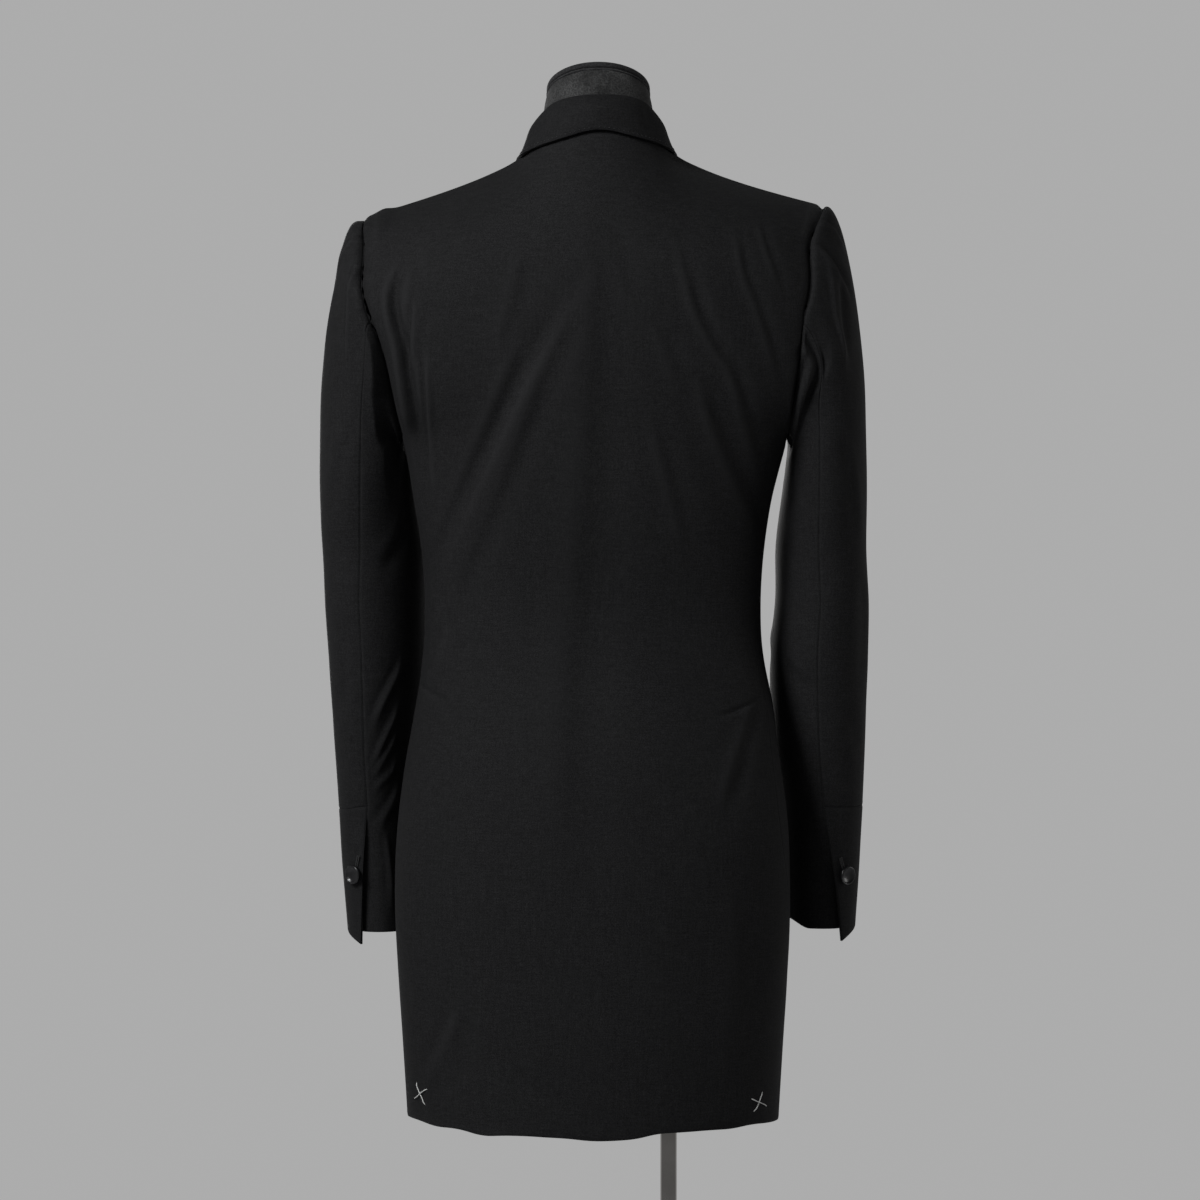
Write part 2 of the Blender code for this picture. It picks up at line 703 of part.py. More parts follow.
def place(name, mesh, material):
    piece = bpy.data.objects.new(name, mesh)
    mesh.materials.append(material)
    mesh.shade_smooth()
    mesh.set_sharp_from_angle(angle=math.radians(40))
    bpy.context.scene.collection.objects.link(piece)
    return piece


def cloth_piece(name, grid, normals, material):
    """One cut piece of the toile as a wall, its thickness going inwards."""
    inwards = inwards_of(grid, normals)
    face = trimmed(grid, inwards)
    wrong = [[p + n * CLOTH for p, n in zip(*pair)] for pair in zip(face, inwards)]
    return place(name, wall_mesh(name, face, wrong), material)


def finish(name, colour, roughness, metallic=0.0):
    material = bpy.data.materials.new(name)
    material.use_nodes = True
    shader = material.node_tree.nodes["Principled BSDF"]
    shader.inputs["Base Color"].default_value = (*colour, 1.0)
    shader.inputs["Roughness"].default_value = roughness
    shader.inputs["Metallic"].default_value = metallic
    return material


# ---------------------------------------------------------------- collar and lapels

def ground_of(grids, outwards):
    """The toile as a surface that points can be dropped onto, facing outwards."""
    bm = shell_of(grids)
    first = min(bm.faces, key=lambda face: -face.calc_center_median().dot(outwards))
    if first.normal.dot(outwards) < 0:
        bmesh.ops.reverse_faces(bm, faces=bm.faces)
    tree = BVHTree.FromBMesh(bm)
    bm.free()
    return tree


def lifted(tree, point, clear):
    """The point, moved out where it is nearer than clear to the cloth below it."""
    near, normal, _, _ = tree.find_nearest(point)
    height = (point - near).dot(normal)
    if height < clear:
        point = point + normal * (clear - height)
    return point


def dropped(tree, x, z):
    """The place on the front that lies behind x and z, and the way out from it."""
    hit, normal, _, _ = tree.ray_cast(Vector((x, -0.5, z)), Vector((0.0, 1.0, 0.0)))
    if hit is None:
        hit, normal, _, _ = tree.find_nearest(Vector((x, -0.12, z)))
    return hit, normal if normal.y < 0 else -normal


def collar_leaf(tree, material):
    face = []
    for r in range(LEAF_ROWS + 1):
        down = r / LEAF_ROWS
        row = []
        for c in range(2 * COLLAR_COLUMNS + 1):
            share = abs(c - COLLAR_COLUMNS) / COLLAR_COLUMNS
            fold, edge = along(COLLAR_FOLD, share), along(COLLAR_EDGE, share)
            point = fold.lerp(edge, down)
            out = Vector((point.x, point.y, 0.0)).normalized()
            point += out * LEAF_BULGE * math.sin(math.pi * down)
            point.x = math.copysign(point.x, c - COLLAR_COLUMNS)
            point = leaned(point)
            if r > 0:
                point = lifted(tree, point, COLLAR_CLEAR)
            row.append(point)
        face.append(row)
    return leaf_wall("collar_leaf", face, material)


def leaf_wall(name, under, material):
    """A wall whose under side is given, with its thickness going outwards."""
    normals = grid_normals(under)
    out = [[p + n * CLOTH for p, n in zip(*pair)] for pair in zip(under, normals)]
    return place(name, wall_mesh(name, out, under), material)


def grid_normals(grid, outwards_from=Vector((0.0, 0.0, 1.2))):
    rows, columns = len(grid), len(grid[0])
    result = []
    for i in range(rows):
        line = []
        for j in range(columns):
            down = grid[min(i + 1, rows - 1)][j] - grid[max(i - 1, 0)][j]
            across = grid[i][min(j + 1, columns - 1)] - grid[i][max(j - 1, 0)]
            normal = down.cross(across).normalized()
            if normal.dot(grid[i][j] - outwards_from) < 0:
                normal = -normal
            line.append(normal)
        result.append(line)
    return result


def collar_stand(material):
    """The band from the neckline up to just under the fold."""
    foot, head = [], []
    for c in range(2 * COLLAR_COLUMNS + 1):
        share = abs(c - COLLAR_COLUMNS) / COLLAR_COLUMNS
        side = 1 if c >= COLLAR_COLUMNS else -1
        sideways = smooth(share * 2)
        if share < STAND_NECK:
            low = neckline(share / STAND_NECK)
        else:
            slide = (share - STAND_NECK) / (1 - STAND_NECK)
            low = Vector(NECK_POINT).lerp(Vector(COLLAR_FOLD[-1]), slide)
            low.z -= STAND_END_DROP * slide
        low += Vector((-STAND_SET * sideways, -STAND_SET * (1 - sideways), STAND_RISE))
        high = along(COLLAR_FOLD, share)
        high += Vector((-FOLD_SET * sideways, -FOLD_SET * (1 - share), -STAND_BELOW_FOLD))
        foot.append(leaned(Vector((side * low.x, low.y, low.z))))
        head.append(leaned(Vector((side * high.x, high.y, high.z))))
    middle = [a.lerp(b, 0.5) for a, b in zip(foot, head)]
    face = [foot, middle, head]
    normals = grid_normals(face, Vector((0.0, 0.0, 1.44)))
    wrong = [[p - n * CLOTH for p, n in zip(*pair)] for pair in zip(face, normals)]
    return place("collar_stand", wall_mesh("collar_stand", face, wrong), material)


def lapel_grid(tree, side):
    """The lapel from the break up to the gorge and the peak, seen from the front."""
    start = LEFT_LAPEL_START if side > 0 else RIGHT_LAPEL_START
    grid = []
    for r in range(LAPEL_ROWS + 1):
        up = r / LAPEL_ROWS
        row = []
        for c in range(LAPEL_COLUMNS + 1):
            out = c / LAPEL_COLUMNS
            roll_z = start + (GORGE[1] - start) * up
            roll_x = front_edge_x(roll_z) + LAPEL_SET
            rim_z = start + (PEAK[1] - start) * up
            rim_x = front_edge_x(start) + (PEAK[0] - front_edge_x(start)) * up
            rim_x += LAPEL_BELLY * math.sin(math.pi * up)
            x = roll_x + (rim_x - roll_x) * out
            z = roll_z + (rim_z - roll_z) * out
            notch = (NOTCH[0] - GORGE[0]) / (PEAK[0] - GORGE[0])
            dip = GORGE[1] + (PEAK[1] - GORGE[1]) * notch - NOTCH[1]
            bend = out / notch if out < notch else (1 - out) / (1 - notch)
            z -= dip * bend * smooth(1 - (1 - up) / NOTCH_REACH)
            hit, normal = dropped(tree, x, z)
            clear = LAPEL_CLEAR + LAPEL_RISE * up
            clear += LAPEL_ROLL * math.sin(math.pi * out ** 0.7) * up
            row.append(hit + normal * clear)
        grid.append(row)
    return grid


# ---------------------------------------------------------------- hard pieces

def turned(name, profile, sides, material, axis=(0.0, 0.0)):
    """A solid turned about a vertical axis from (radius, height) points, top to bottom."""
    bm = bmesh.new()
    rings = []
    for radius, height in profile:
        rings.append([
            bm.verts.new((
                axis[0] + radius * math.cos(2 * math.pi * k / sides),
                axis[1] + radius * math.sin(2 * math.pi * k / sides),
                height,
            ))
            for k in range(sides)
        ])
    for high, low in zip(rings, rings[1:]):
        for k in range(sides):
            bm.faces.new((high[k], low[k], low[(k + 1) % sides], high[(k + 1) % sides]))
    bm.faces.new(rings[0])
    bm.faces.new(rings[-1][::-1])
    return place(name, finished(name, bm), material)


def button(name, radius, centre, normal, material):
    """A domed button with a raised rim, built flat and turned to face the normal."""
    profile = [(radius * across, BUTTON_THICK * high) for across, high in BUTTON_PROFILE]
    piece = turned(name, profile, BUTTON_SIDES, material)
    piece.rotation_mode = "QUATERNION"
    piece.rotation_quaternion = normal.to_track_quat("Z", "Y")
    piece.location = centre + normal * BUTTON_LIFT
    return piece


def ringed(name, rings, bm, material):
    """A solid through rings of points, from the lowest to the highest."""
    for low, high in zip(rings, rings[1:]):
        for k in range(TORSO_SIDES):
            bm.faces.new((low[k], low[(k + 1) % TORSO_SIDES], high[(k + 1) % TORSO_SIDES], high[k]))
    bm.faces.new(rings[-1])
    bm.faces.new(rings[0][::-1])
    return place(name, finished(name, bm), material)


def torso(material):
    bm = bmesh.new()
    power = 2 / TORSO_ROUNDNESS
    rings = []
    for height, half_width, back, front in TORSO:
        middle, reach = (back + front) / 2, (back - front) / 2
        rings.append([
            bm.verts.new(leaned(Vector((
                half_width * spow(math.sin(2 * math.pi * k / TORSO_SIDES), power),
                middle + reach * spow(math.cos(2 * math.pi * k / TORSO_SIDES), power),
                height,
            ))))
            for k in range(TORSO_SIDES)
        ])
    return ringed("form_torso", rings, bm, material)


def neck_ring(bm, radius, y, height, tilt):
    points = []
    for k in range(TORSO_SIDES):
        angle = 2 * math.pi * k / TORSO_SIDES
        reach = radius * math.cos(angle)
        points.append(bm.verts.new((
            NECK_SHIFT + radius * math.sin(angle),
            y + reach * math.cos(math.radians(tilt)),
            height + reach * math.sin(math.radians(tilt)),
        )))
    return points


def stacked(name, levels, material):
    """A solid through tilted rings: radius, y, height and tilt of each."""
    bm = bmesh.new()
    return ringed(name, [neck_ring(bm, *level) for level in levels], bm, material)


def neck_level(share, radius, lift=0.0):
    y = NECK_FOOT[0] + (NECK_HEAD[0] - NECK_FOOT[0]) * share
    height = NECK_FOOT[1] + (NECK_HEAD[1] - NECK_FOOT[1]) * share + lift
    return radius, y, height, NECK_TILT * share


def dress_form(cover, trim):
    torso(cover)
    last = len(NECK_RADII) - 1
    body = [neck_level(i / last, radius) for i, radius in enumerate(NECK_RADII)]
    stacked("form_neck", body, cover)
    top = NECK_RADII[-1] + CAP_OVERHANG
    cap = [
        neck_level(1.0, top, SEAM_GAP),
        neck_level(1.0, top, CAP_THICK),
        neck_level(1.0, top * CAP_SHOULDER, CAP_THICK + CAP_DOME / 2),
        neck_level(1.0, top * CAP_CROWN, CAP_THICK + CAP_DOME),
    ]
    stacked("form_cap", cap, trim)


def stand(chrome, plate):
    torso_foot = TORSO[0][0]
    flange_foot = torso_foot - SEAM_GAP - FLANGE_THICK
    turned(
        "pole_flange",
        ((FLANGE_RADIUS, torso_foot - SEAM_GAP), (FLANGE_RADIUS, flange_foot)),
        ROUND_SIDES, chrome, (POLE_X, 0.0),
    )
    turned(
        "pole",
        ((POLE_RADIUS, flange_foot - SEAM_GAP),
         (POLE_RADIUS, BASE_THICK + SOCKET_HEIGHT + SEAM_GAP * 2)),
        POLE_SIDES, chrome, (POLE_X, 0.0),
    )
    turned(
        "pole_socket",
        ((SOCKET_RADIUS - BASE_EDGE, BASE_THICK + SEAM_GAP + SOCKET_HEIGHT),
         (SOCKET_RADIUS, BASE_THICK + SEAM_GAP + SOCKET_HEIGHT - BASE_EDGE),
         (SOCKET_RADIUS, BASE_THICK + SEAM_GAP)),
        POLE_SIDES, chrome, (POLE_X, 0.0),
    )
    turned(
        "base_plate",
        ((BASE_RADIUS - BASE_EDGE, BASE_THICK), (BASE_RADIUS, BASE_THICK - BASE_EDGE),
         (BASE_RADIUS, 0.0)),
        ROUND_SIDES, plate,
    )


# ---------------------------------------------------------------- the whole

def clear_scene():
    for old in list(bpy.data.objects):
        bpy.data.objects.remove(old, do_unlink=True)


def cuff_spot(table):
    """Where the left sleeve's button sits: near the vent edge of the cuff."""
    tree = ground_of([cuff_grid(table)], Vector((1.0, 0.0, 0.0)))
    x, y = between(table, BUTTON_HEIGHT)[:2]
    turn = math.radians(BUTTON_TURN)
    middle = Vector((x, y, BUTTON_HEIGHT))
    way = Vector((math.cos(turn), math.sin(turn), 0.0))
    hit, normal, _, _ = tree.ray_cast(middle, way)
    return hit, normal if normal.dot(way) > 0 else -normal


def sleeve_button(side, table, material):
    centre, normal = cuff_spot(table)
    centre = Vector((side * centre.x, centre.y, centre.z))
    normal = Vector((side * normal.x, normal.y, normal.z))
    name = "cuff_button_left" if side > 0 else "cuff_button_right"
    button(name, SLEEVE_BUTTON, centre, normal, material)


def main():
    clear_scene()
    wool = finish("wool_twill", (0.012, 0.012, 0.014), 0.85)
    horn = finish("button_black", (0.006, 0.006, 0.006), 0.2)
    cover = finish("form_cover", (0.030, 0.030, 0.033), 0.9)
    trim = finish("form_trim", (0.020, 0.020, 0.021), 0.7)
    chrome = finish("chrome", (0.75, 0.75, 0.76), 0.12, 1.0)
    plate = finish("plate_steel", (0.55, 0.55, 0.56), 0.3, 1.0)

    pieces = {
        "back": back_grid(),
        "front_left": front_grid(1),
        "front_right": mirrored(front_grid(-1)),
    }
    for side, table in (("left", LEFT_SLEEVE), ("right", RIGHT_SLEEVE)):
        made = {
            "top_sleeve_": top_sleeve_grid(table),
            "under_sleeve_": under_sleeve_grid(table),
            "cuff_": cuff_grid(table),
        }
        for name, grid in made.items():
            pieces[name + side] = grid if side == "left" else mirrored(grid)
    pieces = {name: [[leaned(p) for p in row] for row in grid] for name, grid in pieces.items()}
    normals = normals_of(pieces.values())
    for name, grid in pieces.items():
        cloth_piece(name, grid, normals, wool)

    body = [pieces["back"], pieces["front_left"], pieces["front_right"]]
    body = ground_of(body, Vector((0.0, 1.0, 0.0)))
    collar_stand(wool)
    collar_leaf(body, wool)
    for side, name in ((1, "left"), (-1, "right")):
        tree = ground_of([front_grid(side)], Vector((0.0, -1.0, 0.0)))
        grid = lapel_grid(tree, side)
        grid = grid if side > 0 else mirrored(grid)
        leaf_wall("lapel_" + name, [[leaned(p) for p in row] for row in grid], wool)

    sleeve_button(1, LEFT_SLEEVE, horn)
    sleeve_button(-1, RIGHT_SLEEVE, horn)
    left = ground_of([pieces["front_left"]], Vector((0.0, -1.0, 0.0)))
    centre, normal = dropped(left, 0.0, WAIST)
    button("front_button", FRONT_BUTTON, centre, normal, horn)

    dress_form(cover, trim)
    stand(chrome, plate)


main()
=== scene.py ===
# %% [markdown]
# # A long peak-lapel jacket on a limbless dress form
#
# The jacket is fine near-black wool twill, cut as one long back, two fronts, two-piece
# sleeves with pointed vented cuffs, a rolled collar and peak lapels. It hangs on a padded
# form that stands on a chrome pole.
#
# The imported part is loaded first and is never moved. It says where everything goes, and
# each finer piece made here stands in for one of its nodes. Everything is in metres, the
# front faces -Y, and the wearer's left is +X.

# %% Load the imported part
import math
import bmesh
import bpy
import numpy as np
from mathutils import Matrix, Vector
from mathutils.bvhtree import BVHTree


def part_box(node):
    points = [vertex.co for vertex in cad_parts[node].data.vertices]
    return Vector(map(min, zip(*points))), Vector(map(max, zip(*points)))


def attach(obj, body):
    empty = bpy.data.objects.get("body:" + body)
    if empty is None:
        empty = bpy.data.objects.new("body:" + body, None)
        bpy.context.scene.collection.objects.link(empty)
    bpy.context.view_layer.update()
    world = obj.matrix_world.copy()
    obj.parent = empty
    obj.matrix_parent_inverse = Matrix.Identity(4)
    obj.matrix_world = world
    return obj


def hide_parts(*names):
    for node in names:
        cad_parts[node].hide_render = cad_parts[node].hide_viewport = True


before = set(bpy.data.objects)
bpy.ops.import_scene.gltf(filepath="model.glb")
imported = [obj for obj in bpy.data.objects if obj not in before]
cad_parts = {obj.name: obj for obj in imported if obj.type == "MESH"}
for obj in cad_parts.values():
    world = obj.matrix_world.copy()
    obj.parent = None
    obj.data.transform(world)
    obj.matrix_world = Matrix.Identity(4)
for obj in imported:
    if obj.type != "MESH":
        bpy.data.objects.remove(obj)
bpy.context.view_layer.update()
scene = bpy.context.scene

# %% [markdown]
# ## Camera and studio
#
# The jacket is seen square on from behind, from three metres away with a long lens, so
# that its lines stay straight. The studio is a plain pale floor and an even grey surround,
# which darkens overhead and in the room behind the camera. On near-black wool, even light
# alone shows nothing, so one broad soft light hangs high at the wearer's left and behind: it
# rakes down the cloth, brings up every fold and fades towards the hem. A weak one at the
# other side keeps the far sleeve from going black, and a third lights the front. The plain
# view transform keeps the dark tones as they are worked out here.

# %% Camera
camera = bpy.data.objects.new("camera", bpy.data.cameras.new("camera"))
camera.data.lens, camera.data.sensor_width = 100.0, 36.0
camera.location = (-0.0063, 3.0, 1.026)
camera.rotation_euler = (math.radians(90.0), 0.0, math.radians(180.0))
scene.collection.objects.link(camera)
scene.camera = camera
scene.view_settings.view_transform = "Standard"
print("camera at", tuple(round(v, 3) for v in camera.location), "with a 100 mm lens")

# %% Surround
SURROUND, OVERHEAD, ROOM = 0.415, 0.09, 0.15   # backdrop, overhead, behind the camera
world = bpy.data.worlds.new("studio")
scene.world = world
world.use_nodes = True
sky = world.node_tree
way = sky.nodes.new("ShaderNodeSeparateXYZ")
sky.links.new(sky.nodes.new("ShaderNodeTexCoord").outputs["Generated"], way.inputs[0])
turn = sky.nodes.new("ShaderNodeMath")
turn.operation = "MULTIPLY"
turn.inputs[1].default_value = -1.0
sky.links.new(way.outputs["Y"], turn.inputs[0])
fades = []
for source, ends in ((way.outputs["Z"], ((0.22, SURROUND), (0.50, OVERHEAD))),
                     (turn.outputs[0], ((0.25, ROOM / SURROUND), (0.75, 1.0)))):
    fade = sky.nodes.new("ShaderNodeValToRGB")
    for k, (place, tone) in enumerate(ends):
        fade.color_ramp.elements[k].position = place
        fade.color_ramp.elements[k].color = (tone, tone, tone, 1.0)
    sky.links.new(source, fade.inputs["Fac"])
    fades.append(fade.outputs["Color"])
blend = sky.nodes.new("ShaderNodeMix")
blend.data_type, blend.blend_type = "RGBA", "MULTIPLY"
blend.inputs[0].default_value = 1.0
for k, fade in enumerate(fades):
    sky.links.new(fade, blend.inputs[6 + k])
sky.links.new(blend.outputs[2], sky.nodes["Background"].inputs["Color"])
print("surround:", len(sky.nodes), "nodes")


# %% Soft lights
def soft_light(name, place, aim, size, power, colour):
    """A square soft light that faces the aim."""
    light = bpy.data.objects.new(name, bpy.data.lights.new(name, "AREA"))
    light.data.size, light.data.energy, light.data.color = size, power, colour
    light.location = place
    light.rotation_euler = (Vector(aim) - Vector(place)).to_track_quat("-Z", "Y").to_euler()
    light.visible_camera = False
    scene.collection.objects.link(light)
    print(name, "of", power, "W at", place)


soft_light("key_light", (1.55, 1.70, 2.45), (0.0, 0.05, 1.06), 0.9, 56.0, (0.98, 0.99, 1.0))
soft_light("side_light", (-2.9, -0.2, 1.25), (0.0, 0.05, 1.06), 1.2, 10.0, (1.0, 0.99, 0.98))
soft_light("front_light", (0.5, -3.0, 1.30), (0.0, 0.0, 1.05), 1.4, 50.0, (1.0, 0.99, 0.98))

# %% [markdown]
# ## Helpers for finishes
#
# A finish is one Principled shader with its constant numbers set on its own sockets.
# Only what changes over the surface, such as weave, fibre and a painted sheen, comes from nodes.

# %% A finish, by name
def finish(name, roughness, metallic=0.0, **sockets):
    """A new material, and its shader."""
    made = bpy.data.materials.new(name)
    made.use_nodes = True
    shader = made.node_tree.nodes["Principled BSDF"]
    shader.inputs["Roughness"].default_value = roughness
    shader.inputs["Metallic"].default_value = metallic
    for socket, value in sockets.items():
        shader.inputs[socket.replace("_", " ")].default_value = value
    return made, shader


def add(made, kind, joins=(), **values):
    """A node with its values set, and joined from (socket name, output) pairs."""
    new = made.node_tree.nodes.new("ShaderNode" + kind)
    for name, value in values.items():
        socket = name.replace("_", " ")
        if socket in new.inputs:
            new.inputs[socket].default_value = value
        else:
            setattr(new, name, value)
    for name, output in joins:
        made.node_tree.links.new(output, new.inputs[name])
    return new


# %% Tones and mixes of a finish
def tones(made, shares, dark, light, low=0.3, high=0.7):
    """A colour or a grey that runs from dark to light as the shares go from low to high."""
    ramp = add(made, "ValToRGB", [("Fac", shares)])
    for stop, place, tone in zip(ramp.color_ramp.elements, (low, high), (dark, light)):
        stop.position, stop.color = place, (*np.broadcast_to(tone, 3), 1.0)
    return ramp.outputs["Color"]


def mixed(made, share, first, second, blend="MIX"):
    """Two colours mixed. share is a number or an output."""
    mix = add(made, "Mix", data_type="RGBA", blend_type=blend)
    for socket, value in ((0, share), (6, first), (7, second)):
        if isinstance(value, bpy.types.NodeSocket):
            made.node_tree.links.new(value, mix.inputs[socket])
        else:
            mix.inputs[socket].default_value = value
    return mix.outputs[2]


def join(made, output, shader, socket):
    made.node_tree.links.new(output, shader.inputs[socket])


# %% Bumps of a finish
def bumped(made, shader, layers):
    """Bumps one on another: (height output, metres of depth, strength) for each."""
    normal = None
    for height, depth, strength in layers:
        joins = [("Height", height)] + ([("Normal", normal)] if normal else [])
        normal = add(made, "Bump", joins, Distance=depth, Strength=strength).outputs["Normal"]
    join(made, normal, shader, "Normal")


def noise(made, scale, detail=3.0, stretch=(1.0, 1.0, 1.0)):
    """Soft random tone that is fixed to the object, scale in cells per metre."""
    place = add(made, "TexCoord").outputs["Object"]
    sized = add(made, "Mapping", [("Vector", place)], Scale=stretch).outputs["Vector"]
    return add(made, "TexNoise", [("Vector", sized)], Scale=scale, Detail=detail).outputs["Fac"]


def ribs(made, pitch, degrees, waver=0.0):
    """Fine parallel ribs on the cloth's own grain map, pitch metres apart."""
    grain = add(made, "UVMap", uv_map="grain").outputs["UV"]
    turned = add(made, "Mapping", [("Vector", grain)],
                 Rotation=(0.0, 0.0, math.radians(degrees))).outputs["Vector"]
    return add(made, "TexWave", [("Vector", turned)], Scale=math.tau / 20.0 / pitch,
               Distortion=waver, Detail=1.0).outputs["Fac"]


def drifting(made, shader, scale, dark, light, bump=()):
    """Gives a finish a colour that drifts between two tones, and one fine bump."""
    join(made, tones(made, noise(made, scale), dark, light), shader, "Base Color")
    if bump:
        height, depth, strength = bump
        bumped(made, shader, [(noise(made, *height), depth, strength)])


# %% [markdown]
# ## Wool twill
#
# Twill floats each yarn over two and under two, one step further along in every row, so
# the face shows fine steep diagonals. Here they are ribs on a map in real metres, which
# each panel carries on its own grain. Over them lies a fuzz of fibre and a slow drift in the
# dye. A painted sheen, a lighter colour, runs along each raised crease and rolled edge. Sheen
# in the shader stands in for the fibre ends that catch light at the edge of a form.

# %% Wool twill finish
wool, wool_shader = finish(
    "wool_twill", 0.80, Specular_IOR_Level=0.12, Sheen_Weight=0.012, Sheen_Roughness=0.35)
drift = tones(wool, noise(wool, 5.0), (0.0118, 0.0118, 0.0124), (0.0146, 0.0146, 0.0152))
fuzz = tones(wool, noise(wool, 1050.0, 3.0), (0.64, 0.64, 0.65), (1.40, 1.40, 1.38), 0.36, 0.64)
slub = tones(wool, noise(wool, 60.0, 2.0, (6.0, 6.0, 0.5)), 0.93, 1.07)
weft = tones(wool, noise(wool, 900.0, 2.0, (0.10, 0.10, 1.0)), 0.84, 1.16)
warp = tones(wool, noise(wool, 900.0, 2.0, (1.0, 1.0, 0.08)), 0.88, 1.12)
# painted sheen: how much lighter the colour is painted at each point
painted_sheen_share = add(wool, "Attribute", attribute_name="painted_sheen").outputs["Fac"]
colour = drift
for threads in (fuzz, slub, weft, warp):
    colour = mixed(wool, 1.0, colour, threads, "MULTIPLY")
# painted sheen: raised creases and rolled edges are painted towards a lighter grey, as if they
# caught the light
colour = mixed(wool, painted_sheen_share, colour, (0.024, 0.024, 0.025, 1.0))
join(wool, colour, wool_shader, "Base Color")
bumped(wool, wool_shader, [
    (ribs(wool, 0.00085, 63.0, 0.6), 0.00010, 0.45),
    (noise(wool, 900.0, 3.0), 0.00012, 0.40),
])
print("wool twill:", len(wool.node_tree.nodes), "nodes")

# %% [markdown]
# ## Buttons, thread, form cover, chrome and steel
#
# The buttons are polished black plastic with hair scratches. The form is covered in a
# charcoal plain weave that has faded in blotches, and its cap in a closer, darker cloth.
# Chrome shows only what it reflects, so a trace of smudge in its roughness is what makes
# it look handled. The plate's brush marks run round its centre.

# %% Hard finishes and the form's cloth
polish, polish_shader = finish("button_black", 0.32, Specular_IOR_Level=0.5, Coat_Weight=0.35,
                               Coat_Roughness=0.12)
drifting(polish, polish_shader, 240.0, (0.0045, 0.0045, 0.005), (0.011, 0.011, 0.012),
         ((700.0, 2.0, (1.0, 6.0, 1.0)), 0.00003, 0.25))
white, white_shader = finish("white_thread", 0.75, Sheen_Weight=0.2)
drifting(white, white_shader, 2500.0, (0.55, 0.55, 0.53), (0.86, 0.86, 0.84),
         ((3000.0,), 0.0001, 0.5))
silk, silk_shader = finish("black_thread", 0.5, Sheen_Weight=0.1)
drifting(silk, silk_shader, 2500.0, (0.007, 0.007, 0.0075), (0.018, 0.018, 0.019),
         ((3500.0,), 0.0001, 0.5))


def form_cloth(name, dark, light, blotch):
    """Plain weave in a faded dye: two crossed sets of ribs."""
    made, shader = finish(name, 0.85, Specular_IOR_Level=0.25, Sheen_Weight=0.08)
    base = tones(made, noise(made, blotch, 5.0), dark, light, 0.34, 0.66)
    speck = tones(made, noise(made, 700.0, 3.0), 0.5, 1.6, 0.36, 0.66)
    join(made, mixed(made, 1.0, base, speck, "MULTIPLY"), shader, "Base Color")
    bumped(made, shader, [
        (ribs(made, 0.0011, 0.0, 1.0), 0.00015, 0.5),
        (ribs(made, 0.0011, 90.0, 1.0), 0.00015, 0.5),
        (noise(made, 60.0), 0.0006, 0.25),
    ])
    return made


cover = form_cloth("form_cover", 0.017, 0.044, 38.0)
trim = form_cloth("form_trim", (0.014, 0.014, 0.015), (0.028, 0.028, 0.029), 60.0)

chrome, chrome_shader = finish("chrome", 0.1, 1.0)
drifting(chrome, chrome_shader, 30.0, (0.40, 0.385, 0.365), (0.52, 0.50, 0.48))
join(chrome, tones(chrome, noise(chrome, 45.0, 4.0), 0.05, 0.16), chrome_shader, "Roughness")

steel, steel_shader = finish("plate_steel", 0.3, 1.0)
drifting(steel, steel_shader, 25.0, (0.48, 0.48, 0.49), (0.60, 0.60, 0.61))
rings = add(steel, "TexWave", [("Vector", add(steel, "TexCoord").outputs["Object"])],
            wave_type="RINGS", rings_direction="Z", Scale=260.0, Distortion=3.0, Detail=3.0)
join(steel, tones(steel, rings.outputs["Fac"], 0.24, 0.38), steel_shader, "Roughness")
bumped(steel, steel_shader, [(rings.outputs["Fac"], 0.00003, 0.3)])
print("finishes:", [made.name for made in bpy.data.materials if made.users][:12])

# %% [markdown]
# ## The cut of the jacket, from its tables
#
# A tailor works from a few measured levels: how wide and deep the body is at each height,
# where the armhole runs, how the sleeve hangs. The same tables shape the jacket here. Each
# piece starts as a coarse net of points at those levels, and smooth curves through them
# give the fine net. The pieces share the points of their seams, so they meet exactly.

# %% Levels of the body
SEAM_GAP = 0.0003
HEM, ARMPIT = 0.561, 1.168
GIRTHS = (
    # height, half_width, back, front, side, left_seam, right_seam
    (0.561, 0.1665, 0.1200, -0.1240, 0.0100, 4.0, 4.0),
    (0.625, 0.1700, 0.1215, -0.1235, 0.0140, 4.0, 4.0),
    (0.690, 0.1740, 0.1230, -0.1230, 0.0180, 4.0, 5.0),
    (0.755, 0.1770, 0.1235, -0.1220, 0.0200, 4.0, 10.0),
    (0.815, 0.1755, 0.1220, -0.1200, 0.0190, 4.0, 19.0),
    (0.870, 0.1695, 0.1150, -0.1165, 0.0160, 4.0, 20.0),
    (0.920, 0.1610, 0.1030, -0.1120, 0.0110, 4.0, 19.0),
    (0.965, 0.1540, 0.0910, -0.1080, 0.0070, 4.0, 20.0),
    (1.010, 0.1510, 0.0840, -0.1060, 0.0040, 4.0, 18.0),
    (1.060, 0.1530, 0.0860, -0.1090, 0.0060, 4.0, 14.0),
    (1.115, 0.1605, 0.0940, -0.1160, 0.0130, 4.0, 8.0),
    (1.168, 0.1730, 0.1040, -0.1235, 0.0230, 3.0, 3.0),
)
ROUND_BACK, ROUND_FRONT = 2.25, 2.1
SKIRT_ROUNDER, SKIRT_TOP = 0.25, 0.815
HEM_SWING, HEM_DROP = 0.0072, 0.0019
BACK_STRIPS, NECK_STRIPS, FRONT_STRIPS, ARM_STEPS = 28, 4, 10, 8
print("body levels:", len(GIRTHS), "from", HEM, "to", ARMPIT, "m")

